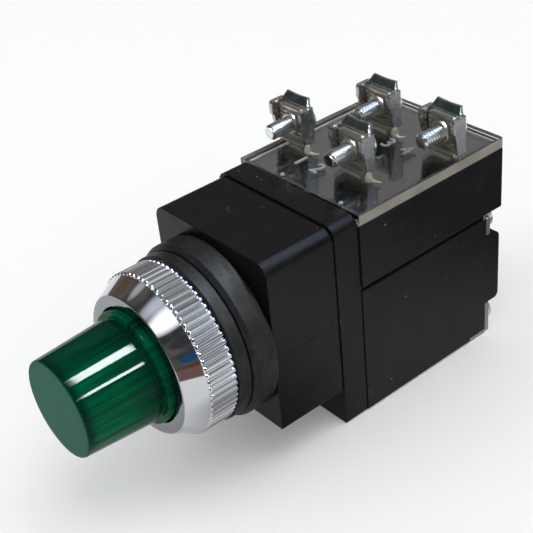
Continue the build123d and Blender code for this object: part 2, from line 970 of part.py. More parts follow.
# Cap over the contact chamber, with the guide for the sliding carriage
def contact_cover():
    half = rear_cover_width / 2
    back = lower_back + rear_cover_depth
    body = block(-half, half, lower_back, back, rear_cover_bottom, rear_cover_top)
    long_edges = [e for e in body.edges().filter_by(Axis.X) if e.center().Y > back - edge_search]
    body = fillet(long_edges, rear_cover_edge_radius)
    middle = chamber_middle
    body += rod(guide_boss_diameter, lower_back - guide_boss_length, lower_back + overcut, 0, middle)
    bore = stem_diameter + 2 * guide_clearance
    stop = stem_end() + press_travel + stem_end_gap
    body -= rod(bore, lower_back - guide_boss_length - overcut, stop, 0, middle)
    for side in (-1, 1):
        x = side * long_screw_x
        hole = long_screw_diameter + 2 * screw_hole_clearance
        head = long_head_diameter + 2 * screw_hole_clearance
        body -= rod(hole, lower_back - overcut, back + overcut, x, long_screw_level)
        body -= rod(head, back - long_head_height, back + overcut, x, long_screw_level)
    return body


def long_screws():
    seat = lower_back + rear_cover_depth - long_head_height
    tip = adapter_front + long_screw_end_gap
    solids = []
    for side in (-1, 1):
        x = side * long_screw_x
        diameter = long_screw_diameter - 2 * thread_fit
        screw = pan_screw(diameter, long_head_diameter, long_head_height, tip, seat, x, long_screw_level)
        solids.append(screw)
    return Compound(children=solids)


def stem_end():
    return frame_back + stem_length


# Sliding carriage with two windows that hold the contact bridges
def contact_carriage():
    middle = chamber_middle
    half = chamber_width / 2 - plate_guide_clearance
    low = chamber_bottom + plate_guide_clearance
    high = chamber_top - plate_guide_clearance
    body = block(-half, half, leg_end, leg_end + front_plate_thickness, low, high)
    stem = stem_diameter / 2
    rise = frame_height / 2
    body += block(-stem, stem, leg_end, frame_back, middle - rise, middle + rise)
    reach = frame_width / 2
    body += block(-reach, reach, frame_front, frame_back, middle - rise, middle + rise)
    for side in (-1, 1):
        x0, x1 = sorted((side * (stem + frame_bar), side * (reach - frame_bar)))
        window_back = frame_back - frame_bar
        low = middle - rise - overcut
        high = middle + rise + overcut
        body -= block(x0, x1, frame_front + frame_bar, window_back, low, high)
    return body + rod(stem_diameter, frame_back, stem_end(), 0, middle)


def contact_bridge(side):
    middle = chamber_middle
    x = side * bridge_offset
    if side > 0:
        back = frame_back - frame_bar
        front = back - bridge_thickness
        button_from, button_to = back, back + button_height
    else:
        front = frame_front + frame_bar
        back = front + bridge_thickness
        button_from, button_to = front - button_height, front
    half = bridge_length / 2
    body = block(x - bridge_width / 2, x + bridge_width / 2, front, back, middle - half, middle + half)
    for up in (-1, 1):
        z = middle + up * (half - button_radius - button_inset)
        body += rod(2 * button_radius, button_from, button_to, x, z)
    return body


def bridge_springs():
    solids = []
    for side in (-1, 1):
        x = side * bridge_offset
        if side > 0:
            y0 = frame_front + frame_bar
            y1 = frame_back - frame_bar - bridge_thickness
        else:
            y0 = frame_front + frame_bar + bridge_thickness
            y1 = frame_back - frame_bar
        diameter, wire, turns = bridge_spring_diameter, bridge_spring_wire, bridge_spring_turns
        solids.append(coil(diameter, wire, turns, y0, y1, x, chamber_middle))
    return Compound(children=solids)


def carriage_spring():
    diameter, wire, turns = carriage_spring_diameter, carriage_spring_wire, carriage_spring_turns
    stop = lower_back - guide_boss_length
    return coil(diameter, wire, turns, frame_back, stop, 0, chamber_middle)


def build():
    nodes = {
        "lens_cap": lens_cap(),
        "lens_holder": lens_holder(),
        "return_spring": return_spring(),
        "lamp_bulb": lamp_bulb(),
        "lamp_base": lamp_base(),
        "lamp_socket": lamp_socket(),
        "socket_contact": socket_contact(),
        "bezel_ring": bezel_ring(),
        "front_gasket": front_gasket(),
        "rear_gasket": rear_gasket(),
        "front_housing": front_housing(),
        "adapter_plate": adapter_plate(),
        "case_screws": case_screws(),
        "transformer_housing": transformer_housing(),
        "transformer_base": transformer_base(),
        "transformer_core": transformer_core(),
        "coil_former": coil_former(),
        "primary_winding": winding(-1),
        "secondary_winding": winding(1),
        "terminal_cover": terminal_cover(),
        "contact_housing": contact_housing(),
        "contact_cover": contact_cover(),
        "long_screws": long_screws(),
        "rear_washers": rear_washers(),
        "rear_screws": rear_screws(),
        "contact_carriage": contact_carriage(),
        "bridge_closed": contact_bridge(-1),
        "bridge_open": contact_bridge(1),
        "bridge_springs": bridge_springs(),
        "carriage_spring": carriage_spring(),
    }
    for number, (x, y) in enumerate(terminal_places, start=1):
        nodes[f"terminal_post_{number}"] = terminal_post(x, y)
        nodes[f"saddle_clamp_{number}"] = saddle_clamp(x, y)
        nodes[f"terminal_screw_{number}"] = terminal_screw(x, y)
    for number, place in enumerate(fixed_places(), start=1):
        nodes[f"rear_contact_{number}"] = rear_contact(place)
    return nodes


os.makedirs("parts", exist_ok=True)
for name, shape in build().items():
    export_step(shape, f"parts/{name}.step")
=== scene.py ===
import math
import bmesh
import bpy
from mathutils import Matrix, Quaternion, Vector


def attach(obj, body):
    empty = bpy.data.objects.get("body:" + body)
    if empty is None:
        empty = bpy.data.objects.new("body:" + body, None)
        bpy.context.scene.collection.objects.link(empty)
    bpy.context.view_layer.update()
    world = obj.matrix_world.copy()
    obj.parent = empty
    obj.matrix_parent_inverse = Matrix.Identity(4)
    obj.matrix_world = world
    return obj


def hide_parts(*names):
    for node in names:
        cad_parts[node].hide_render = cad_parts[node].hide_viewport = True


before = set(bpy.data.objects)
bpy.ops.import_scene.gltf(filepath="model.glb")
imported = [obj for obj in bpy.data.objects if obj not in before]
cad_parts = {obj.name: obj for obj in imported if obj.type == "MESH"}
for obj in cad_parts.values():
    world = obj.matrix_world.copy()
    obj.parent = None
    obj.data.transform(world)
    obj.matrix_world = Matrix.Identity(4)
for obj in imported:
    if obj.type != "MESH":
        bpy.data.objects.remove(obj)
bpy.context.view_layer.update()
mm = 0.001  # every size of the object is in millimetres
fullTurn = 2 * math.pi
print("frame loaded")


# small helpers for meshes

def newObject(name, data):
    thing = bpy.data.objects.new(name, data)
    bpy.context.scene.collection.objects.link(thing)
    return thing


def meshObject(name, points, faces):
    mesh = bpy.data.meshes.new(name)
    mesh.from_pydata([Vector(p) * mm for p in points], [], faces)
    mesh.validate()
    built = bmesh.new()
    built.from_mesh(mesh)
    bmesh.ops.remove_doubles(built, verts=built.verts, dist=1e-7)
    bmesh.ops.recalc_face_normals(built, faces=built.faces)
    built.to_mesh(mesh)
    built.free()
    for face in mesh.polygons:
        face.use_smooth = True
    return newObject(name, mesh)


def gridFaces(rows, columns, closed=False):
    # each row of points is a loop; closed joins the last row to the first
    faces = []
    for row in range(rows if closed else rows - 1):
        here, there = row * columns, (row + 1) % rows * columns
        for k in range(columns):
            after = (k + 1) % columns
            faces.append((here + k, here + after, there + after, there + k))
    return faces


def sweptMesh(name, points, columns):
    # closed solid through rows of points, with a flat face at each end
    rows = len(points) // columns
    ends = [tuple(range(columns)), tuple(range((rows - 1) * columns, rows * columns))]
    return meshObject(name, points, ends + gridFaces(rows, columns))


def sharpen(thing, degrees):
    # edges steeper than this stay crisp, the rest shade smoothly
    built = bmesh.new()
    built.from_mesh(thing.data)
    limit = math.radians(degrees)
    for edge in built.edges:
        if len(edge.link_faces) == 2:
            edge.smooth = edge.calc_face_angle(0) < limit
    built.to_mesh(thing.data)
    built.free()


def bevelEdges(thing, width, segments=3, degrees=40):
    bevel = thing.modifiers.new("edges", "BEVEL")
    bevel.width = width * mm
    bevel.segments = segments
    bevel.limit_method = "ANGLE"
    bevel.angle_limit = math.radians(degrees)
    bevel.use_clamp_overlap = True
    bevel.harden_normals = True


def solidMesh(thing):
    graph = bpy.context.evaluated_depsgraph_get()
    return bpy.data.meshes.new_from_object(thing.evaluated_get(graph), depsgraph=graph)


def bakeModifiers(thing):
    thing.data = solidMesh(thing)
    thing.modifiers.clear()


def combine(thing, other, operation):
    step = thing.modifiers.new("combine", "BOOLEAN")
    step.operation = operation
    step.solver = "EXACT"
    step.object = other
    bakeModifiers(thing)
    bpy.data.objects.remove(other)


def cutAway(thing, cutter):
    combine(thing, cutter, "DIFFERENCE")


def joined(name, parts):
    # one mesh out of several, places kept
    built = bmesh.new()
    for part in parts:
        bakeModifiers(part)
        part.data.transform(part.matrix_world)
        built.from_mesh(part.data)
    mesh = bpy.data.meshes.new(name)
    built.to_mesh(mesh)
    built.free()
    for part in parts:
        bpy.data.objects.remove(part)
    return newObject(name, mesh)


def shift(x, y, z):
    return Matrix.Translation((x * mm, y * mm, z * mm))


def turned(degrees, axis):
    return Matrix.Rotation(math.radians(degrees), 4, axis)


def moved(thing, matrix):
    thing.data.transform(matrix)
    return thing


def copied(pattern, name, matrix):
    return moved(newObject(name, pattern.data.copy()), matrix)


def ringSurface(name, profile, segments, radiusAt=None):
    # profile is (y, radius, weight) round the section; radiusAt bends a radius by angle
    points = []
    for step in range(segments):
        angle = fullTurn * step / segments
        for y, radius, weight in profile:
            r = radiusAt(radius, weight, angle) if radiusAt else radius
            points.append((r * math.cos(angle), y, r * math.sin(angle)))
    return meshObject(name, points, gridFaces(segments, len(profile), True))


def roundedProfile(corners, steps=5):
    # corners are (a, b, radius); each is rounded by an arc of that radius
    result = []
    count = len(corners)
    for k, (a, b, radius) in enumerate(corners):
        here = Vector((a, b))
        before = (Vector(corners[k - 1][:2]) - here).normalized()
        after = (Vector(corners[(k + 1) % count][:2]) - here).normalized()
        half = before.angle(after, 0.0) / 2
        # no arc at a sharp corner, a repeated point or on a straight run
        if radius <= 0 or half < 1e-4 or half > math.pi / 2 - 0.01:
            result.append((a, b))
            continue
        away = radius / math.tan(half)
        middle = here + (before + after).normalized() * (radius / math.sin(half))
        start = here + before * away - middle
        end = here + after * away - middle
        for n in range(steps + 1):
            spoke = start.slerp(end, n / steps, start) if start.angle(end) > 1e-4 else start
            result.append(tuple(middle + spoke.normalized() * radius))
    return result


def lathe(name, corners, segments=128, steps=5):
    outline = roundedProfile(corners, steps)
    return ringSurface(name, [(y, max(r, 0.0), 0) for y, r in outline], segments)


def pin(name, radius, low, high, x, z):
    # plain round bar along the button axis
    bar = lathe(name, [(low, 0, 0), (low, radius, 0), (high, radius, 0), (high, 0, 0)], 40)
    return moved(bar, shift(x, 0, z))


def extruded(name, outline, low, high, axis):
    # outline is (a, b) in the plane across the axis
    points = []
    for along in (low, high):
        for pair in outline:
            point = list(pair)
            point.insert("xyz".index(axis), along)
            points.append(point)
    return sweptMesh(name, points, len(outline))


def plainBlock(name, x0, x1, y0, y1, z0, z1):
    return extruded(name, [(x0, z0), (x1, z0), (x1, z1), (x0, z1)], y0, y1, "y")


# helpers for shading

def put(tree, socket, value):
    if isinstance(value, bpy.types.NodeSocket):
        tree.links.new(value, socket)
    else:
        socket.default_value = value


def addNode(tree, kind, values=None, **settings):
    node = tree.nodes.new(kind)
    for key, value in settings.items():
        setattr(node, key, value)
    for key, value in (values or {}).items():
        put(tree, node.inputs[key], value)
    return node


def sums(tree, operation, first, second=0.0, clamp=False):
    values = {0: first, 1: second}
    return addNode(tree, "ShaderNodeMath", values, operation=operation, use_clamp=clamp).outputs[0]


def times(tree, first, second):
    return sums(tree, "MULTIPLY", first, second)


def plus(tree, first, second, clamp=False):
    return sums(tree, "ADD", first, second, clamp)


def minus(tree, first, second):
    return sums(tree, "SUBTRACT", first, second)


def greater(tree, first, second):
    return sums(tree, "MAXIMUM", first, second)


def vectorSum(tree, operation, first, second, output):
    return addNode(tree, "ShaderNodeVectorMath", {0: first, 1: second}, operation=operation).outputs[output]


def blend(tree, share, first, second, kind="MIX"):
    node = addNode(tree, "ShaderNodeMix", data_type="RGBA", blend_type=kind)
    for socket, value in ((0, share), (6, first), (7, second)):
        put(tree, node.inputs[socket], value)
    return node.outputs[2]


def spread(tree, value, low, high, toLow=0.0, toHigh=1.0):
    ends = {0: value, 1: low, 2: high, 3: toLow, 4: toHigh}
    return addNode(tree, "ShaderNodeMapRange", ends, clamp=True).outputs[0]


def objectPlace(tree):
    return addNode(tree, "ShaderNodeTexCoord").outputs["Object"]


def cloud(tree, scale, detail=2.0, rough=0.5, where=None, stretch=None, distortion=0.0):
    # noise over the object, scale per metre; stretch squeezes the axes
    spot = where or objectPlace(tree)
    if stretch:
        spot = addNode(tree, "ShaderNodeMapping", {"Vector": spot, "Scale": stretch}).outputs[0]
    values = {"Vector": spot, "Scale": scale, "Detail": detail, "Roughness": rough, "Distortion": distortion}
    return addNode(tree, "ShaderNodeTexNoise", values).outputs[0]


def turnedPlace(tree, wrap, along):
    # coordinates that run round the button axis and along it
    parts = addNode(tree, "ShaderNodeSeparateXYZ", {0: objectPlace(tree)}).outputs
    angle = sums(tree, "ARCTAN2", parts["Z"], parts["X"])
    aside = times(tree, sums(tree, "COSINE", angle), wrap)
    upward = times(tree, sums(tree, "SINE", angle), wrap)
    length = times(tree, parts["Y"], along)
    return addNode(tree, "ShaderNodeCombineXYZ", {0: aside, 1: length, 2: upward}).outputs[0], parts["Y"]


def hairlines(tree, scale, width, stretch, cover):
    # thin wandering lines where a noise crosses its middle, kept in patches
    line = cloud(tree, scale, 1.0, 0.4, stretch=stretch)
    thin = spread(tree, sums(tree, "ABSOLUTE", minus(tree, line, 0.5)), 0.0, width, 1.0, 0.0)
    patch = spread(tree, cloud(tree, scale * 2.3, 2.0), 1 - cover, 1 - cover + 0.08)
    return times(tree, thin, patch)


def specks(tree, scale, size, patch):
    # round dots, kept where a cloud of its own is thick
    cell = addNode(tree, "ShaderNodeTexVoronoi", {"Vector": objectPlace(tree), "Scale": scale})
    dot = spread(tree, cell.outputs["Distance"], 0.03, size, 1.0, 0.0)
    return times(tree, dot, spread(tree, cloud(tree, patch[0], 1.0), patch[1], patch[2]))


def newGroup(name, inputs):
    # inputs gives each socket's label and first value
    tree = bpy.data.node_groups.new(name, "ShaderNodeTree")
    for label, value in inputs.items():
        kind = "NodeSocketColor" if isinstance(value, tuple) else "NodeSocketFloat"
        tree.interface.new_socket(name=label, in_out="INPUT", socket_type=kind).default_value = value
    return tree, tree.nodes.new("NodeGroupInput").outputs


def giveLook(tree, color, rough, height):
    # every finish gives a colour, a roughness and a height for its bump
    for label, kind in (("Color", "Color"), ("Roughness", "Float"), ("Height", "Float")):
        tree.interface.new_socket(name=label, in_out="OUTPUT", socket_type="NodeSocket" + kind)
    result = tree.nodes.new("NodeGroupOutput").inputs
    for label, value in (("Color", color), ("Roughness", rough), ("Height", height)):
        put(tree, result[label], value)
    return tree


# the finishes, as node groups

def mouldedGroup():
    inputs = {"Color": (0.02, 0.02, 0.02, 1), "Dust": 0.5, "Scratches": 0.5, "Gloss": 0.2}
    tree, given = newGroup("mouldedPlastic", inputs)
    haze = cloud(tree, 55, 4.0, 0.6)
    smudge = spread(tree, cloud(tree, 140, 3.0, 0.6, distortion=0.6), 0.45, 0.75)
    fine = cloud(tree, 5200, 2.0, 0.6)
    across = hairlines(tree, 170, 0.006, (1.0, 0.35, 1.2), 0.40)
    along = hairlines(tree, 230, 0.006, (0.5, 1.6, 0.4), 0.38)
    marks = times(tree, greater(tree, across, along), given["Scratches"])
    dust = times(tree, specks(tree, 330.0, 0.09, (210, 0.60, 0.64)), given["Dust"])
    paler = blend(tree, 1.0, given["Color"], (1.9, 1.85, 1.9, 1), "MULTIPLY")
    tone = blend(tree, spread(tree, haze, 0.35, 0.7), given["Color"], paler)
    tone = blend(tree, times(tree, marks, 0.22), tone, (0.24, 0.24, 0.25, 1))
    tone = blend(tree, times(tree, dust, 0.7), tone, (0.42, 0.42, 0.42, 1))
    rough = plus(tree, given["Gloss"], times(tree, smudge, 0.14))
    rough = plus(tree, rough, times(tree, plus(tree, marks, dust), 0.2), True)
    height = plus(tree, times(tree, fine, 0.35), times(tree, haze, 0.8))
    height = minus(tree, height, times(tree, marks, 0.6))
    return giveLook(tree, tone, rough, plus(tree, height, times(tree, dust, 0.8)))


def rubberGroup():
    colors = {"Color": (0.007, 0.007, 0.0075, 1), "Scuff Color": (0.040, 0.040, 0.043, 1)}
    tree, given = newGroup("scuffedRubber", {**colors, "Scuffs": 0.6})
    bands = cloud(tree, 2.6, 6.0, 0.68, where=turnedPlace(tree, 2.0, 900.0)[0])
    blotch = cloud(tree, 330, 5.0, 0.7, distortion=1.1)
    rubbed = spread(tree, plus(tree, times(tree, bands, 0.6), times(tree, blotch, 0.4)), 0.44, 0.66)
    rubbed = times(tree, rubbed, given["Scuffs"])
    grain = cloud(tree, 3800, 3.0, 0.7)
    creases = hairlines(tree, 150, 0.02, (1.0, 0.5, 1.0), 0.45)
    tone = blend(tree, rubbed, given["Color"], given["Scuff Color"])
    tone = blend(tree, times(tree, creases, 0.5), tone, (0.008, 0.008, 0.008, 1))
    height = plus(tree, times(tree, grain, 0.5), times(tree, bands, 1.2))
    height = minus(tree, height, times(tree, creases, 0.8))
    return giveLook(tree, tone, spread(tree, rubbed, 0.0, 0.7, 0.52, 0.38), height)


def lensGroup():
    colors = {"Deep Color": (0.0, 0.020, 0.011, 1), "Bright Color": (0.0, 0.150, 0.060, 1),
              "Face Color": (0.006, 0.082, 0.056, 1)}
    tree, given = newGroup("greenLens", {**colors, "Face Start": -0.0387})
    around, length = turnedPlace(tree, 1.0, 5.0)
    streak = cloud(tree, 4.5, 3.0, 0.55, where=around)
    finer = cloud(tree, 16.0, 2.0, 0.5, where=around)
    glow = spread(tree, plus(tree, times(tree, streak, 0.7), times(tree, finer, 0.3)), 0.36, 0.66)
    # painted shade: the side darkens towards its root behind the ring
    lit = spread(tree, length, -0.030, -0.0235, 1.0, 0.25)
    # painted shade: the side is darker on its upper left
    upper = vectorSum(tree, "DOT_PRODUCT", around, (-0.55, 0.0, 0.84), "Value")
    lit = times(tree, lit, spread(tree, upper, 0.25, 0.95, 1.0, 0.25))
    # painted shade behind the front edge, and a painted highlight along the flange
    lit = times(tree, lit, spread(tree, length, -0.0382, -0.0366, 0.1, 1.0))
    lit = greater(tree, lit, spread(tree, length, -0.0221, -0.0220, 0.0, 0.8))
    side = blend(tree, times(tree, glow, lit), given["Deep Color"], given["Bright Color"])
    face = spread(tree, length, given["Face Start"], minus(tree, given["Face Start"], 0.0003))
    satin = spread(tree, cloud(tree, 90, 3.0, 0.6), 0.3, 0.75, 0.0, 0.35)
    tone = blend(tree, face, side, blend(tree, satin, given["Face Color"], given["Bright Color"]))
    frost = times(tree, cloud(tree, 7000, 3.0, 0.7), face)
    height = plus(tree, frost, times(tree, streak, 0.15))
    return giveLook(tree, tone, spread(tree, face, 0.0, 1.0, 0.045, 0.42), height)


def platingGroup():
    inputs = {"Color": (0.50, 0.51, 0.50, 1), "Tint": 0.6, "Gloss": 0.26, "Wear": 0.3}
    tree, given = newGroup("zincPlating", inputs)
    film = cloud(tree, 210, 3.0, 0.55, distortion=0.7)
    ramp = addNode(tree, "ShaderNodeValToRGB", {0: film})
    tints = [(0.30, (0.28, 0.37, 0.38, 1)), (0.42, (0.50, 0.55, 0.53, 1)), (0.50, (0.45, 0.39, 0.47, 1)),
             (0.58, (0.50, 0.54, 0.42, 1)), (0.70, (0.36, 0.36, 0.33, 1))]
    while len(ramp.color_ramp.elements) < len(tints):
        ramp.color_ramp.elements.new(0.5)
    for element, (spot, color) in zip(ramp.color_ramp.elements, tints):
        element.position = spot
        element.color = color
    tone = blend(tree, given["Tint"], given["Color"], ramp.outputs[0])
    worn = times(tree, spread(tree, cloud(tree, 620, 4.0, 0.65), 0.5, 0.72), given["Wear"])
    tone = blend(tree, worn, tone, (0.30, 0.28, 0.25, 1))
    lines = hairlines(tree, 260, 0.02, (0.3, 1.0, 1.6), 0.5)
    tone = blend(tree, times(tree, lines, 0.25), tone, (0.2, 0.2, 0.2, 1))
    rough = plus(tree, given["Gloss"], times(tree, worn, 0.35))
    rough = plus(tree, rough, times(tree, film, 0.12), True)
    return giveLook(tree, tone, rough, minus(tree, cloud(tree, 3000, 3.0, 0.6), times(tree, lines, 0.7)))


def chromeGroup():
    tree, given = newGroup("brightChrome", {"Color": (0.57, 0.58, 0.60, 1), "Smears": 0.4})
    smear = times(tree, spread(tree, cloud(tree, 130, 4.0, 0.6, distortion=0.5), 0.5, 0.8), given["Smears"])
    pit = specks(tree, 520.0, 0.07, (300, 0.6, 0.63))
    # painted reflection: the narrow front land is darkened, standing for the darker surroundings it mirrors
    length = addNode(tree, "ShaderNodeSeparateXYZ", {0: objectPlace(tree)}).outputs["Y"]
    land = spread(tree, length, -0.02057, -0.02040, 1.0, 0.0)
    tone = blend(tree, times(tree, land, 0.8), given["Color"], (0.17, 0.18, 0.19, 1))
    tone = blend(tree, pit, tone, (0.22, 0.21, 0.2, 1))
    rough = plus(tree, spread(tree, smear, 0.0, 1.0, 0.05, 0.2), times(tree, pit, 0.3))
    return giveLook(tree, tone, rough, minus(tree, times(tree, cloud(tree, 420, 2.0), 0.5), pit))


def clearGroup():
    tree, given = newGroup("clearPlastic", {"Color": (0.93, 0.94, 0.93, 1), "Handling": 0.5})
    lines = times(tree, hairlines(tree, 240, 0.006, (1.2, 0.5, 1.0), 0.35), given["Handling"])
    haze = spread(tree, cloud(tree, 160, 4.0, 0.6), 0.55, 0.85)
    tone = blend(tree, times(tree, lines, 0.4), given["Color"], (0.6, 0.6, 0.58, 1))
    rough = plus(tree, plus(tree, times(tree, haze, 0.05), times(tree, lines, 0.2)), 0.03)
    return giveLook(tree, tone, rough, minus(tree, times(tree, cloud(tree, 160, 2.0), 0.7), lines))


groups = {"moulded": mouldedGroup(), "rubber": rubberGroup(), "lens": lensGroup(), "plating": platingGroup(),
          "chrome": chromeGroup(), "clear": clearGroup()}


def newMaterial(name, group, inputs, values, bump=0.2, depth=0.02):
    material = bpy.data.materials.new(name)
    material.use_nodes = True
    tree = material.node_tree
    surface = tree.nodes["Principled BSDF"]
    for key, value in values.items():
        surface.inputs[key].default_value = value
    look = addNode(tree, "ShaderNodeGroup", node_tree=groups[group])
    for key, value in inputs.items():
        look.inputs[key].default_value = value
    relief = addNode(tree, "ShaderNodeBump", {"Strength": bump, "Distance": depth * mm})
    put(tree, relief.inputs["Height"], look.outputs["Height"])
    put(tree, surface.inputs["Base Color"], look.outputs["Color"])
    put(tree, surface.inputs["Roughness"], look.outputs["Roughness"])
    put(tree, surface.inputs["Normal"], relief.outputs["Normal"])
    return material


def painted(red, green, blue, **others):
    return {"Color": (red, green, blue, 1), **others}


def sheen(level):
    return {"Specular IOR Level": level}


def glassy(index):
    return {"Transmission Weight": 1.0, "IOR": index}


metal = {"Metallic": 1.0}
recipes = {
    "lens_green": ("lens", {}, sheen(0.055), 0.08, 0.01),
    "holder_black": ("moulded", painted(0.012, 0.012, 0.013), sheen(0.3)),
    "spring_steel": ("plating", painted(0.55, 0.55, 0.56, Tint=0.1), metal),
    "lamp_glass": ("clear", {"Handling": 0.1}, glassy(1.5), 0.05),
    "lamp_metal": ("plating", painted(0.62, 0.58, 0.48, Tint=0.2), metal),
    "socket_black": ("moulded", painted(0.02, 0.018, 0.017, Gloss=0.4), sheen(0.3)),
    "contact_brass": ("plating", painted(0.7, 0.52, 0.26, Tint=0.1), metal),
    "ring_chrome": ("chrome", {}, metal, 0.06, 0.02),
    "gasket_rubber": ("rubber", {}, sheen(0.21), 0.35, 0.05),
    "body_black": ("moulded", painted(0.0042, 0.0040, 0.0044, Gloss=0.24), sheen(0.13), 0.16, 0.012),
    "rear_black": ("moulded", painted(0.0050, 0.0052, 0.0064, Gloss=0.2, Dust=0.8), sheen(0.13), 0.18, 0.012),
    "zinc_plated": ("plating", painted(0.78, 0.81, 0.80, Tint=0.15, Gloss=0.14, Wear=0.1), metal, 0.15),
    "terminal_zinc": ("plating", {"Tint": 0.6, "Gloss": 0.2}, metal, 0.2),
    "cover_clear": ("clear", {}, glassy(1.49), 0.04, 0.02),
    "core_steel": ("plating", painted(0.4, 0.4, 0.42, Tint=0.1, Gloss=0.4), metal),
    "winding_copper": ("plating", painted(0.72, 0.34, 0.18, Tint=0.1, Gloss=0.3), metal),
    "former_nylon": ("moulded", painted(0.55, 0.52, 0.44, Dust=0.1, Gloss=0.45), sheen(0.35)),
    # surfaces that have no slot of their own
    # painted light: the clear cover's side faces, pale for the light caught inside it
    "cover_edge": ("moulded", painted(0.20, 0.19, 0.155, Dust=0.3, Gloss=0.3), sheen(0.5), 0.3, 0.03),
    "cover_mark": ("moulded", painted(0.21, 0.22, 0.22, Dust=0.2, Gloss=0.15), sheen(0.4), 0.1),
    "resin_beige": ("moulded", painted(0.24, 0.22, 0.175, Dust=0.2, Gloss=0.2), sheen(0.5), 0.3, 0.05),
    # darker than the screws: partly the plates' own duller plating, partly painted shade for their darker
    # reflections
    "washer_plate": ("plating", painted(0.25, 0.245, 0.20, Tint=0.25, Gloss=0.3, Wear=0.4), metal),
    "post_plate": ("plating", painted(0.50, 0.46, 0.38, Tint=0.2, Gloss=0.3, Wear=0.35), metal),
}
looks = {}
for slotName, recipe in recipes.items():
    first, second = slotName.split("_")
    looks[slotName] = newMaterial(first + second.capitalize(), *recipe)
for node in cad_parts.values():
    for materialSlot in node.material_slots:
        materialSlot.material = looks[materialSlot.material.name]
print("materials made")


def place(thing, body, slotName, *nodes, crisp=None, wears=None):
    # rides on the body, wears the slot's finish or its own, and stands for the CAD nodes named
    if crisp:
        bakeModifiers(thing)
        sharpen(thing, crisp)
    even = thing.modifiers.new("normals", "WEIGHTED_NORMAL")
    even.keep_sharp = True
    bakeModifiers(thing)
    thing.data.materials.clear()
    thing.data.materials.append(looks[slotName])
    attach(thing, body)
    if nodes:
        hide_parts(*nodes)
    if wears:
        thing.data.materials[0] = looks[wears]


# green lens

lens = {"front": -39.0, "tip": 10.42, "tipInside": 8.9, "root": 11.35, "grooveFront": -23.4, "groove": 10.8,
        "rimFront": -22.0, "rimBack": -20.2, "rim": 12.35, "skirt": 11.05, "skirtEnd": -15.7,
        "wall": 1.5, "skirtWall": 1.0}
skirtInside = lens["skirt"] - lens["skirtWall"]
faceBack = lens["front"] + lens["wall"]
lensCap = lathe("lensCap", [
    (lens["front"], 0.0, 0), (lens["front"], lens["tip"], 0.55), (lens["grooveFront"], lens["root"], 0.25),
    (lens["grooveFront"], lens["groove"], 0.1), (lens["rimFront"], lens["groove"], 0.15),
    (lens["rimFront"], lens["rim"], 0.3), (lens["rimBack"], lens["rim"], 0.2),
    (lens["rimBack"], lens["skirt"], 0.1), (lens["skirtEnd"], lens["skirt"], 0.1),
    (lens["skirtEnd"], skirtInside, 0.1), (lens["rimFront"], skirtInside, 0.3),
    (faceBack, lens["tipInside"], 0.5), (faceBack, 0.0, 0)], 192, 6)
place(lensCap, "button", "lens_green", "lens_cap", crisp=40)
print("lens built")


# chromed ring with its fluted band

ring = {"front": -20.6, "face": 15.2, "opening": 12.7, "bandFront": -16.1, "band": 18.0, "root": 17.55,
        "back": -9.3, "bore": 15.05, "lip": 2.0, "flutes": 72, "steps": 14, "flat": 0.3, "runIn": 0.55,
        "seam": 0.02}


def fluteRadius(radius, weight, angle):
    # rounded ribs with narrow grooves between them
    if weight == 0:
        return radius
    phase = (angle * ring["flutes"] / fullTurn) % 1.0
    crown = max(0.0, abs(2 * phase - 1) - ring["flat"]) / (1 - ring["flat"])
    dip = crown * crown * (3 - 2 * crown)
    return radius - weight * (ring["band"] - ring["root"]) * dip


# the closed list begins at the bore's back edge; the band follows the cone
ribFoot = ring["root"] + ring["seam"]
innerLip = ring["front"] + ring["lip"]
ringProfile = [(y, r, 0) for y, r in roundedProfile([
    (ring["back"], ring["bore"], 0.1), (innerLip, ring["bore"], 0.1), (innerLip, ring["opening"], 0.15),
    (ring["front"], ring["opening"], 0.3), (ring["front"], ring["face"], 0.35),
    (ring["bandFront"] - 0.05, ribFoot, 0.1)], 5)][:-3]
ringProfile += [(ring["bandFront"], ribFoot, 0)]
for share in (0.0, 0.12, 0.3, 0.55, 0.8, 1.0):
    rise = math.sin(share * math.pi / 2)
    y = ring["bandFront"] + ring["runIn"] * (1 - math.cos(share * math.pi / 2))
    ringProfile.append((y, ribFoot + (ring["band"] - ribFoot) * rise, rise))
bandStart, bandEnd = ring["bandFront"] + ring["runIn"], ring["back"] - 0.4
for step in range(1, 12):
    ringProfile.append((bandStart + (bandEnd - bandStart) * step / 12, ring["band"], 1.0))
ringProfile += [(bandEnd, ring["band"], 1.0), (ring["back"] - 0.15, ring["band"] - 0.08, 0.9),
                (ring["back"], ring["band"] - 0.3, 0.5)]
bezelRing = ringSurface("bezelRing", ringProfile, ring["flutes"] * ring["steps"], fluteRadius)
place(bezelRing, "ring", "ring_chrome", "bezel_ring", crisp=60)
print("ring built")


# rubber gaskets

gasket = {"bore": 15.0, "front": -9.3, "middle": -6.2, "back": 0.0, "small": 18.4, "large": 19.4, "gap": 0.02}
rearFront = gasket["middle"] + gasket["gap"]
frontGasket = lathe("frontGasket", [
    (gasket["front"], gasket["bore"], 0), (gasket["front"], gasket["small"], 0.35),
    (gasket["middle"] - 0.35, gasket["small"], 0.2), (gasket["middle"], gasket["small"] - 0.25, 0.05),
    (gasket["middle"], gasket["bore"], 0)], 160, 5)
rearGasket = lathe("rearGasket", [
    (rearFront, gasket["bore"], 0), (rearFront, gasket["small"] + 0.25, 0.15),
    (gasket["middle"] + 1.0, gasket["large"], 0.6), (gasket["back"] - 0.7, gasket["large"], 0.35),
    (gasket["back"], gasket["large"] - 0.6, 0.15), (gasket["back"], gasket["bore"], 0)], 160, 6)
place(frontGasket, "case", "gasket_rubber", "front_gasket", crisp=50)
place(rearGasket, "case", "gasket_rubber", "rear_gasket", crisp=50)
print("gaskets built")


# black moulded blocks

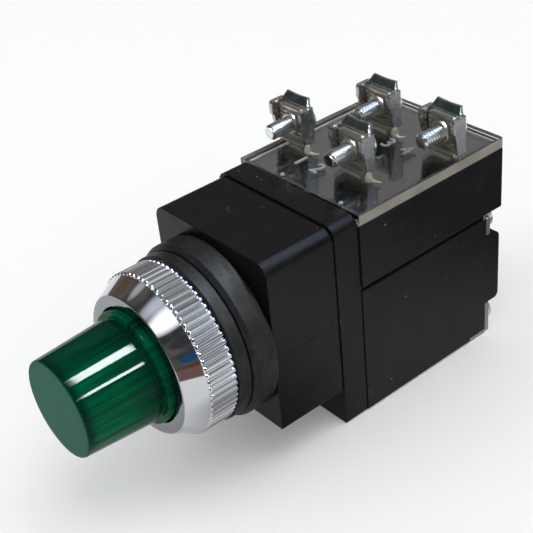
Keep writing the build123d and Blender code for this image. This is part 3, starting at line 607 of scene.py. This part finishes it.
def rectangle(a0, a1, b0, b1, radii, steps):
    # radii are at (a1 b1), (a0 b1), (a0 b0) and (a1 b0)
    spots = ((a1, b1), (a0, b1), (a0, b0), (a1, b0))
    return roundedProfile([(a, b, radius) for (a, b), radius in zip(spots, radii)], steps)


def uprightBlock(name, size, back, edge):
    outline = rectangle(-size["half"], size["half"], size["bottom"], size["top"],
                        (size["round"], size["round"], size["small"], size["small"]), 10)
    block = extruded(name, outline, size["front"], back, "y")
    bevelEdges(block, edge)
    return block


housing = {"half": 17.8, "bottom": -19.2, "top": 20.8, "front": 0, "back": 17.08, "round": 3.0, "small": 0.5,
           "neck": 14.8, "neckBore": 12.65, "neckEnd": -18.3, "neckRoot": 0.5,
           "lineStart": 0.3, "lineLevel": -1.2, "lineProud": 0.05, "lineHalf": 0.07}
body = uprightBlock("shell", housing, housing["back"], 0.16)
neck = lathe("neck", [
    (housing["neckRoot"], housing["neckBore"], 0), (housing["neckEnd"], housing["neckBore"], 0.2),
    (housing["neckEnd"], housing["neck"], 0.6), (housing["neckRoot"], housing["neck"], 0)], 96)
reach = housing["half"] + housing["lineProud"]
low, high = [housing["lineLevel"] + side * housing["lineHalf"] for side in (-1, 1)]
partingLine = plainBlock("line", -reach, reach, housing["lineStart"], housing["back"], low, high)
place(joined("frontHousing", [body, neck, partingLine]), "case", "body_black", "front_housing", crisp=50)

adapter = {"half": 18.1, "bottom": -28.2, "top": 21.3, "front": 17.1, "back": 23.5, "round": 2.6, "small": 0.5,
           "gap": 0.05}
adapterPlate = uprightBlock("adapterPlate", adapter, adapter["back"] - adapter["gap"], 0.14)
place(adapterPlate, "case", "body_black", "adapter_plate", crisp=50)

upper = {"half": 18.6, "front": 23.5, "back": 66.6, "bottom": 4.5, "top": 19.0, "gap": 0.06}
half = upper["half"]
upperOutline = rectangle(-half, half, upper["front"], upper["back"], (0.8, 0.8, 0.25, 0.25), 6)
upperHousing = extruded("upperHousing", upperOutline, upper["bottom"] + upper["gap"], upper["top"], "z")
bevelEdges(upperHousing, 0.22)
place(upperHousing, "case", "rear_black", "transformer_housing", crisp=50)

# the lower block has a small rebate along its top edges, and notches for the feet of the rear plates
lower = {"half": 18.3, "front": 23.5, "back": 61.6, "bottom": -28.2, "top": 4.44, "rebate": 0.7, "ledge": 1.1}
clip = {"inner": 10.3, "outer": 18.22, "front": 56.6, "thick": 1.0, "gap": 0.1}
half, inner = lower["half"], lower["half"] - lower["rebate"]
ledge = lower["top"] - lower["ledge"]
lowerOutline = roundedProfile([
    (half, ledge, 0.35), (inner, ledge, 0), (inner, lower["top"], 0.1), (-inner, lower["top"], 0.1),
    (-inner, ledge, 0), (-half, ledge, 0.35), (-half, lower["bottom"], 0.6), (half, lower["bottom"], 0.6)], 8)
lowerHousing = extruded("lowerHousing", lowerOutline, lower["front"], lower["back"], "y")
bevelEdges(lowerHousing, 0.18)
bakeModifiers(lowerHousing)
for side in (-1, 1):
    near, far = sorted((side * (clip["inner"] - clip["gap"]), side * (half + 1)))
    cutAway(lowerHousing, plainBlock("notch", near, far, clip["front"] - clip["gap"], lower["back"] + 1,
                                     lower["bottom"] - 1, lower["bottom"] + clip["thick"] + clip["gap"]))

# room for the sliding contact carriage: its chamber, the window for the push legs, and the guide of its stem
chamber = {"half": 12.0, "front": 25.3, "bottom": -18.9, "top": -3.0, "window": 7.5, "windowLow": -11.6,
           "windowHigh": -8.0, "guide": 55.0, "guideRadius": 3.5, "stemRadius": 2.0, "stemStop": 63.0}
half, window = chamber["half"], chamber["window"]
cutAway(lowerHousing, plainBlock("room", -half, half, chamber["front"], lower["back"] + 1,
                                 chamber["bottom"], chamber["top"]))
cutAway(lowerHousing, plainBlock("window", -window, window, lower["front"] - 1, chamber["front"] + 1,
                                 chamber["windowLow"], chamber["windowHigh"]))
place(lowerHousing, "case", "rear_black", "contact_housing", crisp=50)

rearCap = {"half": 18.1, "front": 61.6, "back": 66.3, "bottom": -20.0, "top": -1.9, "round": 1.4,
           "screwX": 15.4, "screwLevel": -10.95, "headRadius": 2.6, "headDepth": 2.0}
capOutline = roundedProfile([
    (rearCap["front"], rearCap["bottom"], 0), (rearCap["back"], rearCap["bottom"], rearCap["round"]),
    (rearCap["back"], rearCap["top"], rearCap["round"]), (rearCap["front"], rearCap["top"], 0)], 6)
contactCover = extruded("contactCover", capOutline, -rearCap["half"], rearCap["half"], "x")
bevelEdges(contactCover, 0.25)
bakeModifiers(contactCover)
headSeat = rearCap["back"] - rearCap["headDepth"]
level = rearCap["screwLevel"]
for x in (-rearCap["screwX"], rearCap["screwX"]):
    cutAway(contactCover, pin("hole", rearCap["headRadius"], headSeat, rearCap["back"] + 1, x, level))
guide = pin("guide", chamber["guideRadius"], chamber["guide"], rearCap["front"] + 0.5, 0, level)
combine(contactCover, guide, "UNION")
stemHole = pin("stemHole", chamber["stemRadius"], chamber["guide"] - 1, chamber["stemStop"], 0, level)
cutAway(contactCover, stemHole)
place(contactCover, "case", "rear_black", "contact_cover", crisp=50)
print("blocks built")


# clear terminal cover with its moulded numbers

terminals = [(-13.65, 37.0), (4.95, 37.0), (-4.95, 54.6), (13.65, 54.6)]
cover = {"half": 18.4, "front": 23.52, "back": 66.6, "bottom": 19.04, "top": 21.5, "recess": 0.76, "rim": 1.3}
pipMark = {"places": (-5.8, 12.0), "radius": 0.55, "inset": 1.3, "sink": 0.2}
digit = {"size": 5.2, "raise": 0.16, "round": 0.05, "aside": 6.6, "before": 7.6, "lift": 0.1}
coverOutline = rectangle(-cover["half"], cover["half"], cover["front"], cover["back"], (0.6, 0.6, 0.2, 0.2), 5)
terminalCover = extruded("terminalCover", coverOutline, cover["bottom"], cover["top"], "z")
rim = cover["rim"]
reach = cover["half"] - rim
cutAway(terminalCover, plainBlock("tray", -reach, reach, cover["front"] + rim, cover["back"] - rim,
                                  cover["bottom"] - 1, cover["bottom"] + cover["recess"]))
bevelEdges(terminalCover, 0.25, 3, 60)
place(terminalCover, "case", "cover_clear", "terminal_cover", crisp=35)
# its cut edges are painted pale, as painted light for the light caught inside the clear cover
terminalCover.data.materials.append(looks["cover_edge"])
for face in terminalCover.data.polygons:
    outer = abs(face.center.x) > (cover["half"] - 0.02) * mm or face.center.y > (cover["back"] - 0.02) * mm
    if outer and abs(face.normal.z) < 0.3:
        face.material_index = 1


def ballMesh(name, radius, segments, rings):
    mesh = bpy.data.meshes.new(name)
    ball = bmesh.new()
    bmesh.ops.create_uvsphere(ball, u_segments=segments, v_segments=rings, radius=radius)
    ball.to_mesh(mesh)
    ball.free()
    return mesh


marks = []
for count, (x, y) in enumerate(terminals, start=1):
    words = bpy.data.curves.new("number", "FONT")
    words.body = str(count)
    words.size = digit["size"] * mm
    words.extrude = digit["raise"] * mm
    words.bevel_depth = digit["round"] * mm
    words.resolution_u = 6
    words.align_x = "CENTER"
    written = newObject("number", words)
    aside = digit["aside"] if count % 2 else -digit["aside"]
    spot = shift(x + aside, y - digit["before"], cover["top"] + digit["lift"])
    marks.append(moved(newObject("numberSolid", solidMesh(written)), spot))
    bpy.data.objects.remove(written)
for x in pipMark["places"]:
    pip = newObject("pip", ballMesh("pip", pipMark["radius"] * mm, 24, 12))
    marks.append(moved(pip, shift(x, cover["front"] + pipMark["inset"], cover["top"] - pipMark["sink"])))
place(joined("coverMarks", marks), "case", "cover_clear", crisp=40, wears="cover_mark")
print("cover built")


# threaded screws

thread = {"rows": 14, "flat": 0.3, "slope": 0.45, "point": 0.5, "pointDepth": 0.45}
cross = {"width": 0.45, "depth": 1.2, "taper": 0.62}


def threadedRod(name, size, tip, seat, segments):
    # the root spiral is cut into the rod, and the tip is coned
    rings = int((seat - tip) / (size["pitch"] / thread["rows"])) + 1
    points = []
    for row in range(rings + 1):
        y = tip + (seat - tip) * row / rings
        cone = max(0.0, 1 - (y - tip) / thread["point"]) * thread["pointDepth"]
        for step in range(segments):
            angle = fullTurn * step / segments
            phase = (y / size["pitch"] + step / segments) % 1.0
            tooth = min(1.0, max(0.0, (abs(2 * phase - 1) - thread["flat"]) / thread["slope"]))
            r = size["radius"] - max(size["depth"] * tooth, cone)
            points.append((r * math.cos(angle), y, r * math.sin(angle)))
    return sweptMesh(name, points, segments)


def panHead(name, diameter, height, seat, crossSpan):
    half, top = diameter / 2, seat + height
    head = lathe(name, [(seat, 0, 0), (seat, half, 0.2), (seat + height * 0.8, half, 0.35),
                        (top, half * 0.7, 0.5), (top, 0, 0)], 64, 6)
    # the cross recess narrows to its floor
    for a, b in ((cross["width"], crossSpan / 2), (crossSpan / 2, cross["width"])):
        points = []
        for y, share in ((top - cross["depth"], cross["taper"]), (top + 0.1, 1)):
            points += [(x * share, y, z * share) for x, z in ((-a, -b), (a, -b), (a, b), (-a, b))]
        cutAway(head, sweptMesh("recess", points, 4))
    return head


screw = {"radius": 1.75, "depth": 0.42, "pitch": 0.75, "length": 8.6, "head": 6.8, "headHeight": 2.4,
         "cross": 4.0, "level": 27.0}
rodPattern = threadedRod("rodPattern", screw, -screw["length"], 0.0, 48)
headPattern = panHead("headPattern", screw["head"], screw["headHeight"], 0.0, screw["cross"])
screwPattern = joined("screwPattern", [rodPattern, headPattern])
sharpen(screwPattern, 35)
for count, (x, y) in enumerate(terminals, start=1):
    # each screw was driven home at its own angle
    spot = shift(x, y, screw["level"]) @ turned(37 * count + 11, "Y")
    piece = copied(screwPattern, "terminalScrew" + str(count), spot)
    place(piece, "case", "zinc_plated", "terminal_screw_" + str(count))
bpy.data.objects.remove(screwPattern)

rearPads = [(-14.2, 1.3), (14.2, 1.3), (-14.2, -24.2), (14.2, -24.2)]
rearScrew = {"radius": 1.75, "depth": 0.33, "pitch": 0.6, "seat": 63.1, "tip": 56.5, "head": 6.0,
             "headHeight": 2.4, "cross": 3.6}
parts = []
for count, (x, z) in enumerate(rearPads):
    stud = threadedRod("stud", rearScrew, rearScrew["tip"], rearScrew["seat"], 32)
    head = panHead("head", rearScrew["head"], rearScrew["headHeight"], rearScrew["seat"], rearScrew["cross"])
    parts += [moved(thing, shift(x, 0, z) @ turned(29 * count + 17, "Y")) for thing in (stud, head)]
place(joined("rearScrews", parts), "case", "zinc_plated", "rear_screws", crisp=35)

# the upper plates are cut short under the upper block, and the lower ones have feet under the lower block
rearPlate = {"half": 3.9, "shortTop": 1.9, "shortBottom": 2.9, "front": 61.6, "back": 63.1, "round": 0.4}
parts = []
for x, z in rearPads:
    half = rearPlate["half"]
    above, below = (rearPlate["shortTop"], rearPlate["shortBottom"]) if z > 0 else (half, half)
    outline = rectangle(x - half, x + half, z - below, z + above, [rearPlate["round"]] * 4, 5)
    washer = extruded("washer", outline, rearPlate["front"], rearPlate["back"], "y")
    bevelEdges(washer, 0.2)
    parts.append(washer)
for side in (-1, 1):
    near, far = sorted((side * clip["inner"], side * clip["outer"]))
    clipPlate = plainBlock("clip", near, far, clip["front"], lower["back"] + 0.1, lower["bottom"],
                           lower["bottom"] + clip["thick"])
    bevelEdges(clipPlate, 0.15)
    parts.append(clipPlate)
# the plates wear the darker washer plate, partly painted shade
place(joined("rearWashers", parts), "case", "terminal_zinc", "rear_washers", crisp=50, wears="washer_plate")

longScrew = {"head": 4.8, "cross": 2.9, "radius": 1.4, "tip": 18.6, "round": 0.3}
parts = []
for side in (-1, 1):
    head = panHead("longHead", longScrew["head"], rearCap["headDepth"], headSeat, longScrew["cross"])
    tip, end, radius = longScrew["tip"], headSeat + 0.1, longScrew["radius"]
    shank = lathe("shank", [(tip, 0, 0), (tip, radius, longScrew["round"]), (end, radius, 0), (end, 0, 0)], 32)
    parts += [moved(thing, shift(side * rearCap["screwX"], 0, level)) for thing in (head, shank)]
place(joined("longScrews", parts), "case", "zinc_plated", "long_screws", crisp=50)
print("screws built")


# folded saddle clamps and their posts

clamp = {"half": 5.1, "sheet": 1.0, "depth": 3.9, "low": 23.2, "high": 31.3, "tip": 33.1, "bend": 0.55,
         "lean": 1.15, "lipRoot": 4.0, "lipTip": 3.2, "lipSunk": 0.3, "sag": 0.18, "tipThin": 0.4,
         "tipDrop": 0.3, "step": 0.5, "stepLevel": 28.4, "foot": 1.2, "corner": 0.5,
         "askew": (0.8, -0.6, 0.5, -0.9)}


def lipMesh(name):
    # the lip leans back from a sharp crease and thins to its tip, which sags a little in the middle
    rise = clamp["tip"] - clamp["high"]
    levels = [clamp["high"] - clamp["lipSunk"]] + [clamp["high"] + rise * k / 4 for k in range(5)]
    columns = [-1 + k / 5 for k in range(11)]
    points = []
    for column in columns:
        for face, order in ((-clamp["sheet"], levels), (0.0, levels[::-1])):
            for height in order:
                share = max(0.0, height - clamp["high"]) / rise
                thinner = share if face == 0 else 0.0
                wide = clamp["lipRoot"] + (clamp["lipTip"] - clamp["lipRoot"]) * share
                y = face + clamp["lean"] * share - clamp["tipThin"] * thinner
                z = height - share * clamp["sag"] * (1 - column * column) - clamp["tipDrop"] * thinner
                points.append((column * wide, y, z))
    loop = 2 * len(levels)
    faces = gridFaces(len(columns), loop)
    for start in (0, (len(columns) - 1) * loop):
        last = start + loop - 1
        faces += [(start + k, start + k + 1, last - k - 1, last - k) for k in range(len(levels) - 1)]
    return meshObject(name, points, faces)


def clampMesh(name):
    # a channel whose wings are trimmed to a stepped front edge, with the lip on its web
    half, low, high, level = clamp["half"], clamp["low"], clamp["high"], clamp["stepLevel"]
    inner = half - clamp["sheet"]
    front = -clamp["depth"]
    web = -clamp["sheet"]
    plan = roundedProfile([
        (half, 0, clamp["bend"]), (-half, 0, clamp["bend"]), (-half, front, 0.1), (-inner, front, 0.1),
        (-inner, web, 0.12), (inner, web, 0.12), (inner, front, 0.1), (half, front, 0.1)], 6)
    folded = extruded(name, plan, low, high, "z")
    corner = clamp["corner"] + 0.5
    trims = [
        [(front - 1, low - 1), (front + clamp["foot"] + 0.15, low - 1), (front + clamp["foot"], low),
         (front + clamp["step"], level - clamp["step"]), (front - 0.5, level + 0.5), (front - 1, level + 0.5)],
        [(front - 0.5, high - corner), (front + corner, high + 0.5), (front - 0.5, high + 0.5)],
    ]
    for outline in trims:
        cutAway(folded, extruded("trim", outline, -half - 1, half + 1, "x"))
    combine(folded, lipMesh("lip"), "UNION")
    bevelEdges(folded, 0.09, 2, 28)
    bakeModifiers(folded)
    return folded


post = {"half": 3.9, "sheetGap": 1.0, "thick": 1.2, "foot": 21.9, "height": 9.0, "corner": 1.2, "edge": 0.12,
        "round": 0.25, "bead": 0.65, "groove": 0.34, "pitch": 1.0, "grooveStart": 1.35, "hole": 1.7,
        "collar": 2.6, "collarHeight": 0.8, "legWidth": 1.6, "legBottom": 17.4, "legTop": 0.8}


def postMesh(name):
    # upright plate with pressed grooves, its top corners rounded
    back = -post["sheetGap"]
    front = back - post["thick"]
    top = post["foot"] + post["height"]
    edge = [(front, post["foot"] + 1.0)]
    wave = ((0.0, 0), (0.15, 0), (0.3, 0.7), (0.42, 1.0), (0.55, 1.0), (0.68, 0.7), (0.82, 0))
    z = post["foot"] + post["grooveStart"]
    while z + post["pitch"] < top - 0.5:
        edge += [(front + post["groove"] * deep, z + post["pitch"] * share) for share, deep in wave]
        z += post["pitch"]
    edge += [(front, top - post["round"]), (front + post["round"], top), (back - post["round"], top),
             (back, top - post["round"]), (back, post["foot"]), (front, post["foot"])]
    sections = [-post["half"], -post["half"] + post["edge"]]
    sections += [-post["half"] + post["corner"] * k / 5 for k in range(1, 6)]
    sections += [-x for x in reversed(sections)]
    points = []
    for x in sections:
        side = max(0.0, abs(x) - (post["half"] - post["corner"]))
        limit = top - (post["corner"] - math.sqrt(max(0.0, post["corner"] ** 2 - side ** 2)))
        inset = post["edge"] if abs(x) > post["half"] - 0.05 else 0.0
        points += [(x, min(max(y, front + inset), back - inset), min(z, limit)) for y, z in edge]
    plate = sweptMesh("plate", points, len(edge))
    collarFront = front - post["collarHeight"]
    collar = lathe("collar", [(collarFront, post["hole"], 0.1), (collarFront, post["collar"] - 0.25, 0.3),
                              (front + 0.1, post["collar"], 0), (front + 0.1, post["hole"], 0)], 48)
    moved(collar, shift(0, 0, screw["level"]))
    bead = lathe("bead", [(-post["half"], 0, 0), (-post["half"], post["bead"], 0.3),
                          (post["half"], post["bead"], 0.3), (post["half"], 0, 0)], 32)
    moved(bead, shift(0, front, post["foot"] + post["bead"]) @ turned(90, "Z"))
    right = post["half"] - 0.1
    leg = plainBlock("leg", right - post["legWidth"], right, front + 0.02, back - 0.02,
                     post["legBottom"], post["foot"] + post["legTop"])
    bevelEdges(leg, 0.2)
    return joined(name, [plate, collar, bead, leg])


def softTube(name, path, sides=14, between=5):
    # path holds (x, y, z, radius), smoothed into a bead that thickens and thins
    path = [Vector(p) for p in path]
    ends = [2 * path[0] - path[1]] + path + [2 * path[-1] - path[-2]]
    line = []
    for k in range(1, len(ends) - 2):
        a, b, c, d = ends[k - 1:k + 3]
        for n in range(between):
            t = n / between
            line.append(0.5 * (2 * b + (c - a) * t + (2 * a - 5 * b + 4 * c - d) * t * t
                               + (3 * b - a - 3 * c + d) * t ** 3))
    line.append(path[-1])
    last = len(line) - 1
    points = []
    for k, spot in enumerate(line):
        ahead = (line[min(k + 1, last)] - line[max(k - 1, 0)]).to_3d().normalized()
        across = ahead.cross(Vector((0.3, -0.8, 0.5))).normalized()
        upward = across.cross(ahead)
        radius = spot[3] * (0.35 if k in (0, last) else 1.0)
        for step in range(sides):
            angle = fullTurn * step / sides
            points.append(spot.to_3d() + (across * math.cos(angle) + upward * math.sin(angle)) * radius)
    return sweptMesh(name, points, sides)


clampPattern = clampMesh("clampPattern")
sharpen(clampPattern, 30)
postPattern = postMesh("postPattern")
sharpen(postPattern, 30)
for count, (x, y) in enumerate(terminals, start=1):
    # the clamps were pressed home by hand, so each stands a little askew
    spot = shift(x, y, 0)
    piece = copied(clampPattern, "saddleClamp" + str(count), spot @ turned(clamp["askew"][count - 1], "Z"))
    place(piece, "case", "terminal_zinc", "saddle_clamp_" + str(count))
    piece = copied(postPattern, "terminalPost" + str(count), spot)
    place(piece, "case", "terminal_zinc", "terminal_post_" + str(count), wears="post_plate")
bpy.data.objects.remove(clampPattern)
bpy.data.objects.remove(postPattern)

# beads of resin where three of the terminals go through the clear cover
beads = []
for (x, y), drift in zip(terminals, (0.0, 0.35, -0.25)):
    path = [(4.9, -2.3, 23.4, 0.5), (5.05, -2.4, 22.7, 0.7), (5.2 + drift * 0.3, -2.5, 21.9, 0.85),
            (6.0, -2.4 + drift, 21.55, 0.5), (6.7, -2.0 + drift, 21.5, 0.32), (7.4 + drift, -1.3, 21.48, 0.2)]
    beads.append(softTube("bead", [(x + a, y + b, c, r) for a, b, c, r in path]))
place(joined("resinBeads", beads), "case", "cover_clear", wears="resin_beige")
print("terminals built")


# floor, light and camera; places here are in metres

def hideFrom(thing, *rays):
    for kind in rays:
        setattr(thing, "visible_" + kind, False)


def stageMesh(name, centre, size, facing, material, cameraSees=True):
    a, b = size[0] / 2, size[1] / 2
    mesh = bpy.data.meshes.new(name)
    mesh.from_pydata([(-a, -b, 0), (a, -b, 0), (a, b, 0), (-a, b, 0)], [], [(0, 1, 2, 3)])
    mesh.materials.append(material)
    thing = newObject(name, mesh)
    thing.location = centre
    thing.rotation_mode = "QUATERNION"
    thing.rotation_quaternion = Vector(facing).to_track_quat("Z", "Y")
    if not cameraSees:
        hideFrom(thing, "camera", "diffuse", "shadow", "transmission")


def cardMaterial(name, color, strength):
    material = bpy.data.materials.new(name)
    material.use_nodes = True
    surface = material.node_tree.nodes["Principled BSDF"].inputs
    surface["Base Color"].default_value = color
    surface["Roughness"].default_value = 0.9
    surface["Specular IOR Level"].default_value = 0.0
    surface["Emission Color"].default_value = color
    surface["Emission Strength"].default_value = strength
    return material, material.node_tree, surface


def shownRays(tree):
    # rays that see the background: from the camera, off shiny parts and through clear ones
    rays = addNode(tree, "ShaderNodeLightPath").outputs
    seen = greater(tree, rays["Is Camera Ray"], rays["Is Glossy Ray"])
    return greater(tree, seen, rays["Is Transmission Ray"]), rays["Is Glossy Ray"]


paper = {"color": (0.92, 0.92, 0.92, 1), "glow": 0.14, "size": 6, "gap": 0.00005}
# patches of floor in the shade, which only the shiny parts show: (centre, inner radius, outer radius, depth)
shades = (((62, 120), 30, 80, 0.8), ((36, 0), 12, 30, 0.7))
floorLevel = lower["bottom"] * mm
material, tree, surface = cardMaterial("paper", paper["color"], 0.0)
seen, glossyRay = shownRays(tree)
put(tree, surface["Emission Strength"], times(tree, seen, paper["glow"]))
spot = addNode(tree, "ShaderNodeNewGeometry").outputs["Position"]
shade = 0.0
for (x, y), inner, outer, depth in shades:
    away = vectorSum(tree, "DISTANCE", spot, (x * mm, y * mm, floorLevel), "Value")
    shade = greater(tree, shade, spread(tree, away, inner * mm, outer * mm, depth, 0.0))
tone = blend(tree, times(tree, shade, glossyRay), paper["color"], (0.0, 0.0, 0.0, 1))
for label in ("Base Color", "Emission Color"):
    put(tree, surface[label], tone)
stageMesh("floor", (0, 0, floorLevel - paper["gap"]), (paper["size"], paper["size"]), (0, 0, 1), material)
# a small brown card beside the ring, for the warm band in the chrome
brown = cardMaterial("cardBrown", (0.12, 0.068, 0.06, 1), 1.0)[0]
stageMesh("lowCard", (0.152, -0.078, -0.008), (0.07, 0.040), (-0.89, 0.44, 0), brown, False)

world = bpy.data.worlds.new("studio")
bpy.context.scene.world = world
world.use_nodes = True
sky = world.node_tree
backdrop = sky.nodes["Background"].inputs
put(sky, backdrop["Color"], blend(sky, shownRays(sky)[0], (0.80, 0.81, 0.83, 1), (1.0, 1.0, 1.0, 1)))
backdrop["Strength"].default_value = 0.8


def areaLamp(name, size, power, color, matrix, hidden):
    light = bpy.data.lights.new(name, "AREA")
    light.shape = "RECTANGLE"
    light.size, light.size_y = size
    light.energy = power
    light.color = color
    thing = newObject(name, light)
    thing.matrix_world = matrix
    hideFrom(thing, hidden)


def softLamp(name, spot, size, power, color):
    # lights the colours, and leaves no reflection
    spot = Vector(spot)
    facing = (Vector((0, 0.01, 0)) - spot).to_track_quat("-Z", "Y").to_matrix().to_4x4()
    areaLamp(name, (size, size), power, color, Matrix.Translation(spot) @ facing, "glossy")


def tube(name, direction, distance, size, power, along, color):
    # a strip light that runs along the button axis and gives a bright streak only
    back = Vector((direction[0], 0, direction[1])).normalized()
    axis = Vector((0, 1, 0))
    facing = Matrix((axis.cross(back), axis, back)).transposed().to_4x4()
    areaLamp(name, size, power, color, Matrix.Translation(back * distance + axis * along) @ facing, "diffuse")


tube("wideTube", (0.22, 0.95), 0.75, (0.20, 0.060), 8.0, 0.157, (0.88, 0.95, 1.0))
tube("narrowTube", (0.75, 0.61), 0.80, (0.075, 0.064), 3.2, 0.165, (0.88, 0.95, 1.0))
# a low strip that only the body's rounded edge and the rubber catch
tube("edgeTube", (0.22, 0.975), 0.156, (0.16, 0.052), 0.125, 0.094, (0.54, 0.67, 1.0))
softLamp("softKey", (0.25, 0.15, 1.1), 0.8, 3.4, (1.0, 0.99, 0.97))
softLamp("softFill", (-0.5, -0.8, 0.8), 0.7, 2.4, (1.0, 0.985, 0.96))

# room that only shiny parts see: (direction, inner angle, outer angle, colour)
glows = [
    ((-0.60, 0.50, 0.62), 12, 30, (0.34, 0.29, 0.28, 1)),
    ((-0.67, -0.68, 0.31), 14, 30, (0.028, 0.045, 0.042, 1)),
    ((-0.155, 0.50, 0.85), 8, 24, (0.30, 0.30, 0.31, 1)),
    ((0.87, 0.50, 0.05), 12, 34, (0.34, 0.34, 0.36, 1)),
    ((0.55, 0.50, 0.67), 8, 20, (0.85, 0.93, 1.0, 1)),
    ((-0.16, -0.40, 0.90), 3, 12, (0.75, 0.80, 0.90, 1)),
    ((0.22, -0.46, 0.86), 6, 16, (2.2, 2.2, 2.3, 1)),
    ((0.67, -0.49, 0.56), 6, 9, (0.06, 0.05, 0.06, 1)),
    ((0.84, -0.48, 0.23), 4, 6, (0.02, 0.085, 0.20, 1)),
    ((0.89, -0.44, 0.02), 5, 8, (0.12, 0.065, 0.05, 1)),
    ((-0.70, -0.22, 0.68), 3, 7, (0.55, 0.55, 0.57, 1)),
    ((-0.95, -0.06, 0.31), 6, 12, (0.15, 0.095, 0.06, 1)),
]
room, walls, surface = cardMaterial("room", (0, 0, 0, 1), 1.0)
around = addNode(walls, "ShaderNodeVectorMath", {0: objectPlace(walls)}, operation="NORMALIZE").outputs[0]
mottle = spread(walls, cloud(walls, 2.6, 3.0, 0.6, where=around), 0.38, 0.62)
tone = blend(walls, mottle, (0.045, 0.052, 0.05, 1), (0.15, 0.135, 0.13, 1))
for direction, inner, outer, color in glows:
    toward = vectorSum(walls, "DOT_PRODUCT", around, Vector(direction).normalized(), "Value")
    near = spread(walls, toward, math.cos(math.radians(outer)), math.cos(math.radians(inner)))
    tone = blend(walls, near, tone, color)
put(walls, surface["Emission Color"], tone)
roomDome = newObject("roomDome", ballMesh("room", 2.9, 64, 32))
roomDome.data.materials.append(room)
hideFrom(roomDome, "camera", "diffuse", "transmission", "shadow", "volume_scatter")

# the camera stands where it stood for the photo, tipped a little to one side
view = {"spot": (0.161537, -0.107253, 0.140122), "along": (-0.667218, 0.499490, -0.552567), "tip": -6.218,
        "lens": 78.395, "sensor": 36.0}
eye = bpy.data.cameras.new("photoCamera")
eye.lens = view["lens"]
eye.sensor_width = view["sensor"]
camera = newObject("photoCamera", eye)
camera.location = view["spot"]
camera.rotation_mode = "QUATERNION"
tip = Quaternion((0, 0, 1), math.radians(view["tip"]))
camera.rotation_quaternion = Vector(view["along"]).to_track_quat("-Z", "Y") @ tip
bpy.context.scene.camera = camera
bpy.context.scene.view_settings.view_transform = "Standard"
print("stage set")
